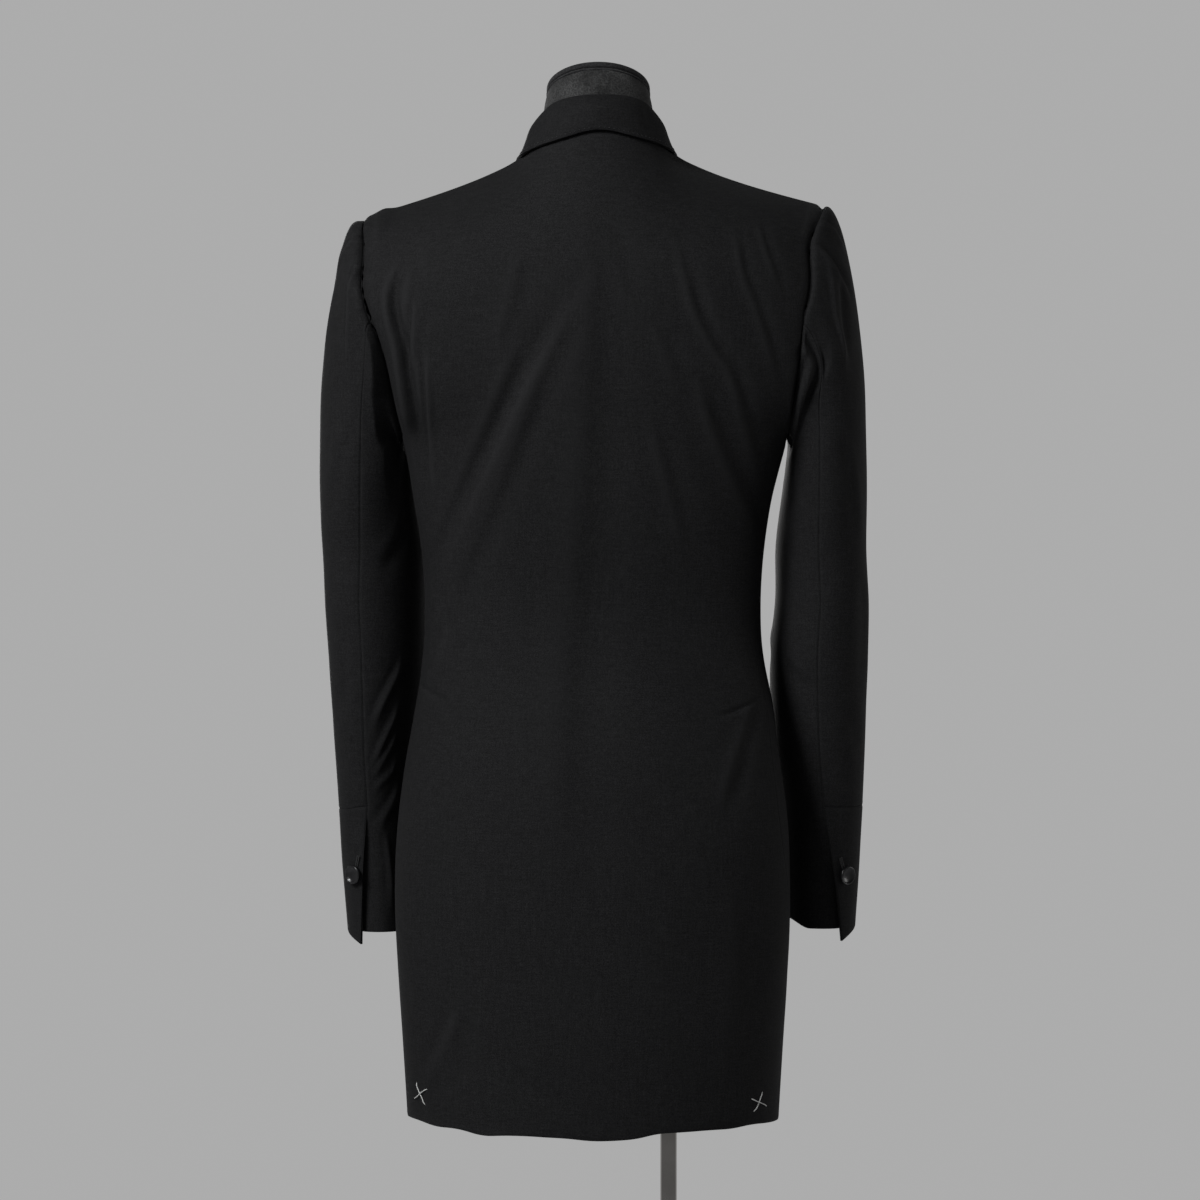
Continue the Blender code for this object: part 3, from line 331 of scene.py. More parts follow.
# %% Levels of the yoke, shoulder and front edge
SHOULDER_POINT = np.array((0.2070, -0.0060, 1.3765))
NECK_POINT = np.array((0.0640, 0.0040, 1.4290))
NAPE = np.array((0.0, 0.0620, 1.4450))
SHOULDER_HOLLOW = 0.0060
ARMHOLE_DEPTH, SCOOP_FRONT, SCOOP_BACK = 0.0630, 0.0140, 0.0020
BACK_YOKE = (
    # degrees round the armhole, height, depth, turn
    (0.0, 1.1680, 0.1040, 78.0), (45.0, 1.2200, 0.1110, 66.0),
    (90.0, 1.2950, 0.1120, 56.0), (112.5, 1.3340, 0.1070, 52.0),
)
FRONT_YOKE = (
    (0.0, 1.1680, -0.1235, 102.0), (45.0, 1.2000, -0.1235, 76.0),
    (90.0, 1.2700, -0.1150, 62.0), (112.5, 1.3080, -0.1040, 56.0),
)
YOKE_STEPS = 5
NAPE_SLOPE, NECK_SLOPE = np.array((0.0, -0.35, 0.94)), np.array((0.0, -0.88, 0.47))
SHOULDER_SLOPE = np.array((0.0, -0.97, 0.24))
ROUND_OVER, LEAN_OVER = 0.36, 0.15
NECK_SHIFT, SHOULDER_TILT = -0.0048, 0.0265
FRONT_LAP, LAP_RAISE, LAP_START, BREAK = 0.0180, 0.0043, 0.0500, 1.0450
print(f"shoulder seam: {np.linalg.norm(SHOULDER_POINT - NECK_POINT):.3f} m")


# %% Small tools for curves
def spow(value, power):
    return np.sign(value) * np.abs(value) ** power


def smooth(value):
    value = np.clip(value, 0.0, 1.0)
    return value * value * (3.0 - 2.0 * value)


def unit(vectors):
    """The same ways, each one metre long."""
    return vectors / (np.linalg.norm(vectors, axis=-1, keepdims=True) + 1e-12)


def bent(start, first, second, end, t):
    """A place on the curve that leaves start towards first and reaches end from second."""
    return (start * (1 - t) ** 3 + first * 3 * t * (1 - t) ** 2
            + second * 3 * t * t * (1 - t) + end * t ** 3)


def between(table, at):
    """The columns of a table at a place between its rows, on a smooth curve."""
    rows = np.array(sorted(table))
    i = int(np.clip(np.searchsorted(rows[:, 0], at, side="right") - 1, 0, len(rows) - 2))
    low, high = rows[i], rows[i + 1]
    before, after = rows[max(i - 1, 0)], rows[min(i + 2, len(rows) - 1)]
    span = high[0] - low[0]
    t = min(1.0, max(0.0, (at - low[0]) / span))
    rise_low = (high - before) / (high[0] - before[0]) * span
    rise_high = (after - low) / (after[0] - low[0]) * span
    return (low * (1 + 2 * t) * (1 - t) ** 2 + rise_low * t * (1 - t) ** 2
            + high * t * t * (3 - 2 * t) + rise_high * t * t * (t - 1))[1:]


# %% Curves through rows of points
def curved(points, counts, before=None, after=None):
    """Rows on a smooth curve through the given rows, counts steps in each interval."""
    before = 2 * points[0] - points[1] if before is None else before
    after = 2 * points[-1] - points[-2] if after is None else after
    all_rows = np.concatenate([[before], points, [after]])
    made = []
    for i, count in enumerate(counts):
        a, b, c, d = all_rows[i:i + 4]
        t = (np.arange(count) / count).reshape(-1, *[1] * (points.ndim - 1))
        made.append(b + 0.5 * ((c - a) * t + (2 * a - 5 * b + 4 * c - d) * t ** 2
                               + (3 * b - a - 3 * c + d) * t ** 3))
    return np.concatenate([*made, points[-1:]])


def widened(net, steps):
    """The net with a smooth curve along each row, steps columns for each one it had."""
    columns = np.swapaxes(net, 0, 1)
    return np.swapaxes(curved(columns, [steps] * (len(columns) - 1)), 0, 1)


def leaned(points):
    """The jacket sits unevenly: its neck is to the right, and the right shoulder is high."""
    x, y, z = np.moveaxis(np.asarray(points, float), -1, 0)
    high = smooth((z - ARMPIT) / 0.2)
    near_neck = 1 - smooth(np.abs(x) / SHOULDER_POINT[0])
    return np.stack([x + NECK_SHIFT * high * near_neck, y, z - SHOULDER_TILT * x * high], -1)


def flipped(points):
    """The other side's twin."""
    return points * np.array((-1.0, 1.0, 1.0))


# %% Body levels as points
def seam_angle(height, side):
    return 90.0 - between(GIRTHS, height)[4 if side > 0 else 5]


def girth(height, degrees):
    """Points of the body below the armhole: 0 is the centre back, 90 the left side."""
    half_width, back, front, side = between(GIRTHS, height)[:4]
    s, c = np.sin(np.radians(degrees)), np.cos(np.radians(degrees))
    skirt = smooth((SKIRT_TOP - height) / (SKIRT_TOP - HEM))
    roundness = np.where(c > 0, ROUND_BACK - SKIRT_ROUNDER * skirt, ROUND_FRONT)
    reach = np.where(c > 0, back - side, side - front)
    return np.stack([half_width * spow(s, 2 / roundness),
                     side + reach * spow(c, 2 / roundness), height + 0.0 * s], -1)


def armhole(half, degrees):
    """A point of the left armhole. half is 1 on the back and -1 on the front."""
    angle = math.radians(degrees)
    rise, swing = (1 - math.cos(angle)) / 2, math.sin(angle)
    low = girth(ARMPIT, seam_angle(ARMPIT, 1))
    point = low + (SHOULDER_POINT - low) * rise
    point[0] -= (SCOOP_BACK if half > 0 else SCOOP_FRONT) * spow(swing, 1.5)
    point[1] += half * ARMHOLE_DEPTH * spow(swing, 0.85)
    return point


# %% Yoke, shoulder and neckline
def yoke(table, half, degrees, shares):
    """Points on a yoke section: share 0 is at the centre and 1 at the armhole."""
    height, depth, turn = between(table, degrees)
    edge, power = armhole(half, degrees), 2 / (ROUND_BACK if half > 0 else ROUND_FRONT)
    angle = math.radians(turn)
    s = spow(np.sin(shares * angle), power) / spow(math.sin(angle), power)
    c = (1 - spow(np.cos(shares * angle), power)) / (1 - spow(math.cos(angle), power))
    return np.stack([edge[0] * s, depth + (edge[1] - depth) * c,
                     height + (edge[2] - height) * s * s], -1)


def shoulder(share):
    """The shoulder seam from the neck point (0) to the shoulder point (1)."""
    point = NECK_POINT + (SHOULDER_POINT - NECK_POINT) * share
    point[2] -= SHOULDER_HOLLOW * math.sin(math.pi * share ** 0.67)
    return point


def neckline(share):
    """From the nape (0) to the neck point (1)."""
    angle = math.radians(90 * share)
    s, c = math.sin(angle), math.cos(angle)
    return NECK_POINT * (s, 1 - c, 1 - c) + NAPE * (0, c, c)


def over_rows(half, low, top, slopes, armhole_columns):
    """The last rows, which round over to the armhole's top and the shoulder seam."""
    rows = []
    reach = np.linalg.norm(top - low, axis=1, keepdims=True) * ROUND_OVER
    rise = np.array((0.0, 0.0, 1.0)) * (1 - LEAN_OVER) + slopes * LEAN_OVER
    first, second = low + unit(rise) * reach, top - unit(slopes) * reach
    for k in range(YOKE_STEPS + 1, ARM_STEPS):
        t = (k - YOKE_STEPS) / (ARM_STEPS - YOKE_STEPS)
        row = bent(low, first, second, top, t)
        for column in armhole_columns:
            row[column] = armhole(half, 180.0 * k / ARM_STEPS) * (np.sign(top[column][0]), 1, 1)
        rows.append(row)
    return [*rows, top]


# %% Coarse net of the back
def back_net():
    half = BACK_STRIPS // 2
    shares = np.arange(-half, half + 1) / half
    net = []
    for row in GIRTHS:
        seams = np.where(shares > 0, seam_angle(row[0], 1), seam_angle(row[0], -1))
        net.append(girth(row[0], shares * seams))
    net[0][:, 2] += HEM_SWING * np.sin(np.radians(np.abs(shares) * 90)) ** 2 - HEM_DROP
    for k in range(1, YOKE_STEPS + 1):
        net.append(yoke(BACK_YOKE, 1, 180.0 * k / ARM_STEPS, np.abs(shares)))
        net[-1][:, 0] *= np.sign(shares)
    top, slopes = [], []
    for i in range(-half, half + 1):
        share = abs(i) / NECK_STRIPS
        if share <= 1:
            point, slope = neckline(share), NAPE_SLOPE + (NECK_SLOPE - NAPE_SLOPE) * share
        else:
            share = (abs(i) - NECK_STRIPS) / (half - NECK_STRIPS)
            point, slope = shoulder(share), NECK_SLOPE + (SHOULDER_SLOPE - NECK_SLOPE) * share
        top.append(point * (np.sign(i), 1, 1))
        slopes.append(slope)
    return np.array(net + over_rows(1, net[-1], np.array(top), np.array(slopes), (0, -1)))


back = back_net()
print("coarse back:", back.shape[:2])


# %% Coarse net of a front
def front_edge_x(height):
    """Where the left front ends: straight up to the break, then along the roll line."""
    share = max(0.0, (height - BREAK) / (NECK_POINT[2] - BREAK))
    return -FRONT_LAP + (NECK_POINT[0] + FRONT_LAP) * share


def front_net(side):
    """A front from the side seam to its front edge, worked out as a left one."""
    steps = np.arange(FRONT_STRIPS + 1) / FRONT_STRIPS
    net = []
    for row in GIRTHS:
        lap = spow(front_edge_x(row[0]) / row[1], ROUND_FRONT / 2)
        start, end = seam_angle(row[0], side), 180.0 - math.degrees(math.asin(lap))
        net.append(girth(row[0], start + (end - start) * steps))
    net[0][:, 2] += HEM_SWING - HEM_DROP
    for k in range(1, YOKE_STEPS + 1):
        degrees = 180.0 * k / ARM_STEPS
        edge, (height, _, turn), inner = armhole(-1, degrees), between(FRONT_YOKE, degrees), 0.0
        for _ in range(8):
            inner = front_edge_x(height + (edge[2] - height) * inner * inner) / edge[0]
        angle = math.radians(turn)
        reach = spow(inner * spow(math.sin(angle), 2 / ROUND_FRONT), ROUND_FRONT / 2)
        end = math.asin(reach) / angle
        net.append(yoke(FRONT_YOKE, -1, degrees, 1.0 + (end - 1.0) * steps))
    top = np.array([shoulder(1.0 - step) for step in steps])
    slopes = np.array([NECK_SLOPE + (SHOULDER_SLOPE - NECK_SLOPE) * (1 - s) for s in steps])
    net = np.array(net + over_rows(-1, net[-1], top, slopes * (1, -1, 1), (0,)))
    if side > 0:
        net[..., 1] -= LAP_RAISE * smooth((LAP_START - net[..., 0]) / (2 * FRONT_LAP))
    return net


left, right = front_net(1), flipped(front_net(-1))
print("coarse fronts:", left.shape[:2], right.shape[:2])


# %% Making a net fine
LEVELS = len(GIRTHS)
DOWN = [13, 13, 13, 12, 13, 16, 26, 15, 15, 16, 16] + [8] * ARM_STEPS
ARMPIT_ROW = sum(DOWN[:LEVELS - 1])
ACROSS = 5


def fine(net, before=None, after=None, corners=()):
    """A fine net. Beside a seam of the lower rows the next piece guides the curve."""
    rows = []
    for r, row in enumerate(net):
        low = r < LEVELS
        if r == len(net) - 1 and corners:
            cuts = [0, *corners, len(row) - 1]
            parts = [curved(row[a:b + 1], [ACROSS] * (b - a)) for a, b in zip(cuts, cuts[1:])]
            rows.append(np.concatenate([part[:-1] for part in parts] + [row[-1:]]))
        else:
            rows.append(curved(row, [ACROSS] * (len(row) - 1),
                               before[r] if low and before is not None else None,
                               after[r] if low and after is not None else None))
    return curved(np.array(rows), DOWN)


# %% Easing a net
def relaxed(net, passes, where):
    """The net with its inside eased, where says how much, and its borders kept."""
    net = net.copy()
    for _ in range(passes):
        inner = (net[:-2, 1:-1] + net[2:, 1:-1] + net[1:-1, :-2] + net[1:-1, 2:]) / 4
        net[1:-1, 1:-1] += (inner - net[1:-1, 1:-1]) * where[1:-1, 1:-1, None]
    return net


def underarm(net):
    """More ease near the bottom of the armhole and under the collar than elsewhere."""
    rows, columns = np.indices(net.shape[:2])
    near = np.exp(-((rows - ARMPIT_ROW - 2) / 14.0) ** 2)
    high = smooth((rows - len(net) + 30) / 14.0)
    return np.clip(0.12 + near + high, 0, 1)


# %% Fine nets of the back and the fronts
middle = BACK_STRIPS // 2
nets = {
    "back": fine(back, right[:, 1], left[:, 1], (middle - NECK_STRIPS, middle + NECK_STRIPS)),
    "front_left": fine(left, back[:, -2]),
    "front_right": fine(right, back[:, 1]),
}
for name, net in nets.items():
    nets[name] = relaxed(net, 60, underarm(net))
    print(name, "net:", net.shape[:2])

# %% [markdown]
# ## Sleeves and cuffs
#
# A tailored sleeve is two pieces, a broad top sleeve and a narrow under sleeve, and its
# arm bends forwards. Its head leaves the armhole, puffs a little and falls. The cuff is a
# separate turned piece with a pointed flap that laps over the vent. Every row of the
# sleeve is one closed ring of points, which the seams then part.

# %% Levels of the sleeves
LEFT_SLEEVE = (
    # height, x, y, half_width, half_depth, twist
    (1.140, 0.2065, -0.0080, 0.0410, 0.0640, 4.0), (1.080, 0.2003, -0.0330, 0.0445, 0.0610, 12.0),
    (1.025, 0.1985, -0.0420, 0.0440, 0.0590, 16.0), (0.975, 0.1970, -0.0480, 0.0425, 0.0580, 16.0),
    (0.930, 0.1970, -0.0530, 0.0400, 0.0570, 15.0), (0.885, 0.1970, -0.0580, 0.0370, 0.0560, 14.0),
    (0.834, 0.1965, -0.0630, 0.0350, 0.0550, 12.0), (0.797, 0.1955, -0.0670, 0.0335, 0.0540, 12.0),
    (0.760, 0.1935, -0.0700, 0.0325, 0.0530, 12.0),
    (0.7225, 0.1915, -0.0730, 0.0315, 0.0520, 12.0),
)
RIGHT_SLEEVE = (
    (1.140, 0.2100, -0.0020, 0.0370, 0.0650, 2.0), (1.080, 0.2060, -0.0130, 0.0400, 0.0620, 6.0),
    (1.025, 0.2068, -0.0190, 0.0412, 0.0600, 8.0), (0.975, 0.2047, -0.0270, 0.0433, 0.0590, 9.0),
    (0.930, 0.2048, -0.0360, 0.0427, 0.0580, 10.0), (0.885, 0.2057, -0.0450, 0.0408, 0.0570, 11.0),
    (0.834, 0.2075, -0.0530, 0.0375, 0.0560, 12.0), (0.797, 0.2070, -0.0590, 0.0360, 0.0550, 12.0),
    (0.760, 0.2060, -0.0640, 0.0350, 0.0540, 12.0),
    (0.7225, 0.2050, -0.0680, 0.0335, 0.0530, 12.0),
)
SLEEVE_TOP, CUFF_SEAM, SLEEVE_HEM, VENT_TOP = 1.140, 0.834, 0.7225, 0.797
SEAM_SET = 7.0
FRONT_SEAM, BACK_SEAM, FLAP_SLANT = -3, {1: 4.0, -1: 3.5}, {1: 0.95, -1: 1.5}
CAP_REACH, ARMPIT_REACH, CAP_FALL, ARMPIT_TURN = 0.092, 0.2, 0.47, 75.0
ARMPIT_LEAVE, SHOULDER_LEAVE = np.array((0.90, 0.0, -1.0)), np.array((1.0, 0.0, 0.22))
FLAP_STEPS, FLAP_LIFT, FLAP_POINT = 4.0, 0.0030, 0.0110
VENT_SINK, UNDERLAP = 0.0042, 0.35
CAP_ROWS, ARM_ROWS, CUFF_ROWS = 60, 76, 30
print(f"cuffs: {CUFF_SEAM - SLEEVE_HEM:.3f} m deep, vents {VENT_TOP - SLEEVE_HEM:.3f} m")


# %% Rings of a sleeve
def section(table, height, steps):
    """Points of a level ring. Steps go round from the armpit over the back to 8."""
    x, y, half_width, half_depth, twist = between(table, height)
    angle = np.pi * steps / ARM_STEPS
    angle = angle - math.radians(SEAM_SET) * np.sin(angle)
    s, c = math.sin(math.radians(twist)), math.cos(math.radians(twist))
    across, deep = -half_width * np.cos(angle), half_depth * np.sin(angle)
    return np.stack([x + across * c + deep * s, y - across * s + deep * c, height + 0 * angle], -1)


def sunk(table, points, height, depth):
    """Moves points of a ring towards the middle of the sleeve."""
    way = np.append(between(table, height)[:2], height) - points
    way[:, 2] = 0.0
    return points + unit(way) * np.reshape(depth, (-1, 1))


def sleeve_rings(table, back_edge, front_edge):
    """Rings of a left sleeve from the armhole's fine edges to the cuff, and their steps."""
    per_step = (len(back_edge) - 1) // ARM_STEPS
    steps = np.arange(-ARM_STEPS * per_step, ARM_STEPS * per_step + 1) / per_step
    start = np.concatenate([front_edge[:0:-1], back_edge])
    end = section(table, SLEEVE_TOP, steps)
    out = smooth(np.abs(steps) * 180.0 / ARM_STEPS / ARMPIT_TURN)[:, None]
    leave = unit(ARMPIT_LEAVE * (1 - out) + SHOULDER_LEAVE * out)
    reach = np.linalg.norm(end - start, axis=1, keepdims=True)
    first = start + leave * reach * (CAP_REACH + ARMPIT_REACH * (1 - out))
    second = end + (0.0, 0.0, 1.0) * reach * CAP_FALL
    ring = [bent(start, first, second, end, t) for t in np.arange(CAP_ROWS) / CAP_ROWS]
    ring += [section(table, height, steps)
             for height in np.linspace(SLEEVE_TOP, CUFF_SEAM, ARM_ROWS + 1)]
    ring = np.array(ring)
    near = np.exp(-((np.arange(len(ring)) - CAP_ROWS) / 9.0) ** 2)[1:-1, None, None]
    for _ in range(120):
        ring[1:-1] += ((ring[:-2] + ring[2:]) / 2 - ring[1:-1]) * near
    return ring, steps


# %% A sleeve parted at its seams
def sleeve_nets(table, back_edge, front_edge, back_seam, slant):
    """Fine nets of a left sleeve's three pieces, sewn to the armhole's fine edges."""
    ring, steps = sleeve_rings(table, back_edge, front_edge)
    seam = [int(np.argmin(np.abs(steps - s))) for s in (FRONT_SEAM, back_seam)]
    top = np.concatenate([ring[:, seam[1]:], ring[:, 1:seam[0] + 1]], 1)
    top_steps = np.concatenate([steps[seam[1]:], steps[1:seam[0] + 1] + 2 * ARM_STEPS])
    inner = steps[seam[0]:seam[1] + 1]
    near_vent = smooth(inner - back_seam + 1)
    lower, flap = [], []
    for height in np.linspace(CUFF_SEAM, SLEEVE_HEM, CUFF_ROWS + 1):
        open_ = smooth((CUFF_SEAM - height) / (CUFF_SEAM - VENT_TOP))
        row = section(table, height, inner + (slant + UNDERLAP) * near_vent * open_)
        lower.append(sunk(table, row, height, VENT_SINK * near_vent * open_))
        down = (CUFF_SEAM - height) / (CUFF_SEAM - SLEEVE_HEM)
        near = np.maximum(0.0, 1.0 - (top_steps - back_seam) / FLAP_STEPS)
        row = section(table, height, top_steps + slant * near * down)
        row = sunk(table, row, height, -FLAP_LIFT * near * smooth(2 * down))
        row[:, 2] -= FLAP_POINT * near ** 2 * down
        flap.append(row)
    under = np.concatenate([ring[:, seam[0]:seam[1] + 1], np.array(lower)[1:]])
    return {"top_sleeve": (top, top_steps), "under_sleeve": (under, inner),
            "cuff": (np.array(flap), top_steps)}


# %% Both sleeves
step_of = {}
for side, table, column, mirror in (("left", LEFT_SLEEVE, -1, 1), ("right", RIGHT_SLEEVE, 0, -1)):
    edges = nets["back"][ARMPIT_ROW:, column], nets["front_" + side][ARMPIT_ROW:, 0]
    made = sleeve_nets(table, *[edge * (mirror, 1, 1) for edge in edges], BACK_SEAM[mirror],
                       FLAP_SLANT[mirror])
    for name, (net, steps) in made.items():
        nets[f"{name}_{side}"] = net * (mirror, 1, 1)
        step_of[f"{name}_{side}"] = steps
        print(name, side, "net:", net.shape[:2])

# %% [markdown]
# ## Edges, grain and the ways out of the cloth
#
# A seam shows as a fine dark line with two softly rolled edges. That takes a few rows very
# close to every border. Each piece also keeps its distances in real metres, across and
# down, which serve as its grain map and tell how far a point lies from its border. Then the
# even pattern is let hang as this jacket does, a little out of true. The sewn pieces share
# their normals, so that seams stay closed when creases move the cloth.

# %% How the hem waves
BESIDE = (0.10, 0.28, 0.60)
HEM_WAVE = {
    "back": ((-0.175, -0.0060), (-0.158, -0.0030), (-0.139, 0.0008), (-0.124, -0.0002),
             (-0.102, 0.0020), (-0.075, 0.0030), (-0.055, 0.0036), (-0.040, 0.0000),
             (-0.020, -0.0010), (0.001, -0.0012), (0.022, 0.0010), (0.058, 0.0014),
             (0.080, 0.0000), (0.095, -0.0027), (0.107, -0.0006), (0.120, 0.0010),
             (0.140, -0.0016), (0.155, 0.0010), (0.175, -0.0030)),
    "front_left": ((-0.02, 0.0010), (0.03, -0.0012), (0.07, 0.0016), (0.10, 0.0002),
                   (0.13, 0.0014), (0.158, 0.0004), (0.175, -0.0030)),
    "front_right": ((-0.175, -0.0060), (-0.150, -0.0020), (-0.12, 0.0012), (-0.08, -0.0008),
                    (-0.04, 0.0014), (0.02, 0.0000)),
}
print("places on the hem:", {name: len(drops) for name, drops in HEM_WAVE.items()})


# %% Closer rows at the borders
def edged(net):
    """The net with extra rows and columns close inside its borders."""
    for _ in range(2):
        first = [net[0] + (net[1] - net[0]) * share for share in BESIDE]
        last = [net[-1] + (net[-2] - net[-1]) * share for share in BESIDE[::-1]]
        net = np.concatenate([net[:1], first, net[1:-1], last, net[-1:]])
        net = np.swapaxes(net, 0, 1)
    return net


def walked(net, axis):
    """Distance walked from the first border along each line of the net."""
    leg = np.linalg.norm(np.diff(net, axis=axis), axis=-1)
    zero = np.zeros_like(np.take(leg, [0], axis=axis))
    return np.concatenate([zero, np.cumsum(leg, axis=axis)], axis=axis)


# %% Where the jacket has settled
def bell(value, centre, width):
    return np.exp(-((value - centre) / width) ** 2)


def worn_in(name, net):
    """Where this jacket has settled away from its even pattern."""
    x, y, z = np.moveaxis(net, -1, 0)
    rear = smooth(y / 0.03)
    net = net.copy()
    # the back armholes bow outwards, and the right one is drawn up and in at its foot
    net[..., 0] += 0.0105 * bell(z, 1.300, 0.040) * bell(x, 0.190, 0.028) * rear
    net[..., 0] += 0.0066 * bell(z, 1.338, 0.026) * bell(x, -0.202, 0.028) * rear
    net[..., 2] += 0.0140 * bell(z, 1.256, 0.026) * bell(x, -0.188, 0.018) * rear
    net[..., 0] -= 0.0110 * bell(z, 1.238, 0.026) * rear * (
        smooth((-x - 0.187) / 0.013) * (1 - smooth((-x - 0.200) / 0.035)))
    # the side under the left arm draws in, and the left shoulder's end stands up
    net[..., 0] -= 0.0032 * bell(z, 1.163, 0.030) * smooth((x - 0.12) / 0.03) * (
        smooth((0.21 - x) / 0.03) * smooth((y + 0.05) / 0.05))
    net[..., 2] += 0.0026 * bell(x, 0.1885, 0.0075) * smooth((z - 1.345) / 0.012)
    if name in ("back", "front_right"):   # the right waist stands out a little
        net[..., 0] -= 0.0030 * bell(z, 0.935, 0.035) * smooth((-x - 0.10) / 0.04)
    if name in step_of and name.endswith("_right"):   # the right cuff is drawn up inside
        net[..., 2] += 0.0055 * smooth((0.90 - z) / 0.06)
        net[..., 2] += 0.0090 * smooth((x + 0.196) / 0.022) * smooth((0.77 - z) / 0.04)
    if name in step_of and name.endswith("_left"):   # its head sits lower, its cuff higher
        net[..., 2] -= 0.0032 * smooth((x - 0.2055) / 0.006) * smooth((z - 1.335) / 0.02)
        net[..., 2] += 0.0020 * smooth((0.87 - z) / 0.03)
        net[..., 2] += 0.0038 * bell(z, 0.834, 0.03) * smooth((0.232 - x) / 0.03)
    return net


def swung(net, drops):
    """The hem hangs unevenly: (x, metres up) places along it, fading out above."""
    x, z = net[..., 0], net[..., 2]
    at, up = np.array(drops).T
    wave = sum(np.interp(x + shift, at, up) for shift in (-0.008, -0.004, 0.0, 0.004, 0.008)) / 5
    net = net.copy()
    net[..., 2] += wave * (1 - smooth((z - HEM) / 0.10))
    return net


# %% The nets as they hang
plain_fronts = {1: nets["front_left"], -1: flipped(nets["front_right"])}
for name in nets:
    nets[name] = leaned(worn_in(name, edged(nets[name])))
    if name in HEM_WAVE:
        nets[name] = swung(nets[name], HEM_WAVE[name])
    if name in step_of:
        row = np.repeat(step_of[name][None, :, None], 3, 0)
        step_of[name] = edged(np.concatenate([row] * 2))[0, :, 0]
foot = nets["back"][-1, :, 2] if nets["back"][-1, 0, 2] < 1 else nets["back"][0, :, 2]
print(f"the back's hem swings between {foot.min():.4f} and {foot.max():.4f} m")


# %% Where the sleeve falls back behind the body
# side: how far it reaches over the sleeve, the levels it starts from and is full at, its steepness
FALLS = {"left": (0.021, 1.290, 1.205, 1.35), "right": (0.007, 1.268, 1.215, 1.00)}
LIP, LEAST_REACH = 0.0045, 0.45
SIDE_FADE, FOOT_FADE = 0.055, 0.11   # the fall dies out round the side and below the armhole


def closely(line, most=0.0008):
    """The same line with its points close together."""
    legs = np.linalg.norm(np.diff(line, axis=0), axis=1)
    at = np.concatenate([[0.0], np.cumsum(legs)])
    wanted = np.linspace(0, at[-1], int(at[-1] / most))
    return np.stack([np.interp(wanted, at, line[:, axis]) for axis in range(3)], -1)


def fallen_back(nets):
    """Beside the lower back armhole the cloth drops forwards, so the back ends in a lip."""
    moved = {name: net.copy() for name, net in nets.items()}
    for kind, (reach, high, low, steep) in FALLS.items():
        sleeve = ["top_sleeve_" + kind, "under_sleeve_" + kind]
        seam = closely(np.concatenate([nets[name][0] for name in sleeve]))
        rear = seam[seam[:, 1] > 0.035]
        end = rear[rear[:, 2].argmin()]
        below = np.linspace(end, end + np.array((-0.13 * end[0], -0.004, -0.12)), 150)
        for name in ["back", "front_" + kind, *sleeve]:
            net = nets[name]
            line = np.concatenate([seam, below]) if name in sleeve else seam
            away = np.array([np.linalg.norm(row[:, None] - line, axis=2).min(1) for row in net])
            extent = reach * np.clip((high - net[..., 2]) / (high - low), 0.001, 1)
            if name in sleeve:
                widest = np.maximum(extent, LEAST_REACH * reach)
                left = np.maximum(1 - away / widest, 0) ** 1.15
            else:
                left = 1 - smooth(away / LIP)
            left *= smooth(net[..., 1] / SIDE_FADE)
            left *= smooth((net[..., 2] - end[2] + FOOT_FADE) / 0.10)
            moved[name][..., 1] -= steep * extent * left
    nets.update(moved)


# %% Both armholes
fallen_back(nets)
print(f"the back ends in a lip {LIP * 1000:.1f} mm wide beside the armholes")


# %% Shared normals of the sewn cloth
def own_normals(net, row, outside):
    """Unit normals of a net, turned to face outside along one of its rows."""
    raw = unit(np.cross(np.gradient(net, axis=1), np.gradient(net, axis=0)))
    return raw * np.sign((raw[row] * outside).sum())


def sewn_normals(nets):
    """Unit normals that pieces share where they are sewn together, pointing out."""
    points = np.concatenate([net.reshape(-1, 3) for net in nets.values()])
    normals = []
    for name, net in nets.items():
        row, axis = len(net) // 3, (0.0, 0.0, 0.0)
        if name in step_of:
            table, mirror = (LEFT_SLEEVE, 1) if name.endswith("left") else (RIGHT_SLEEVE, -1)
            axis = (mirror * table[3][1], table[3][2], 0.0)
        normals.append(own_normals(net, row, (net[row] - axis) * (1, 1, 0)).reshape(-1, 3))
    _, index = np.unique(np.round(points / 2e-6).astype(np.int64), axis=0, return_inverse=True)
    index = index.reshape(-1)
    shared = np.zeros((index.max() + 1, 3))
    np.add.at(shared, index, np.concatenate(normals))
    shared = unit(shared[index])
    ends = np.cumsum([net.shape[0] * net.shape[1] for net in nets.values()])[:-1]
    return {name: part.reshape(nets[name].shape)
            for name, part in zip(nets, np.split(shared, ends))}


normals = sewn_normals(nets)
print("points in the toile:", sum(net.shape[0] * net.shape[1] for net in nets.values()))
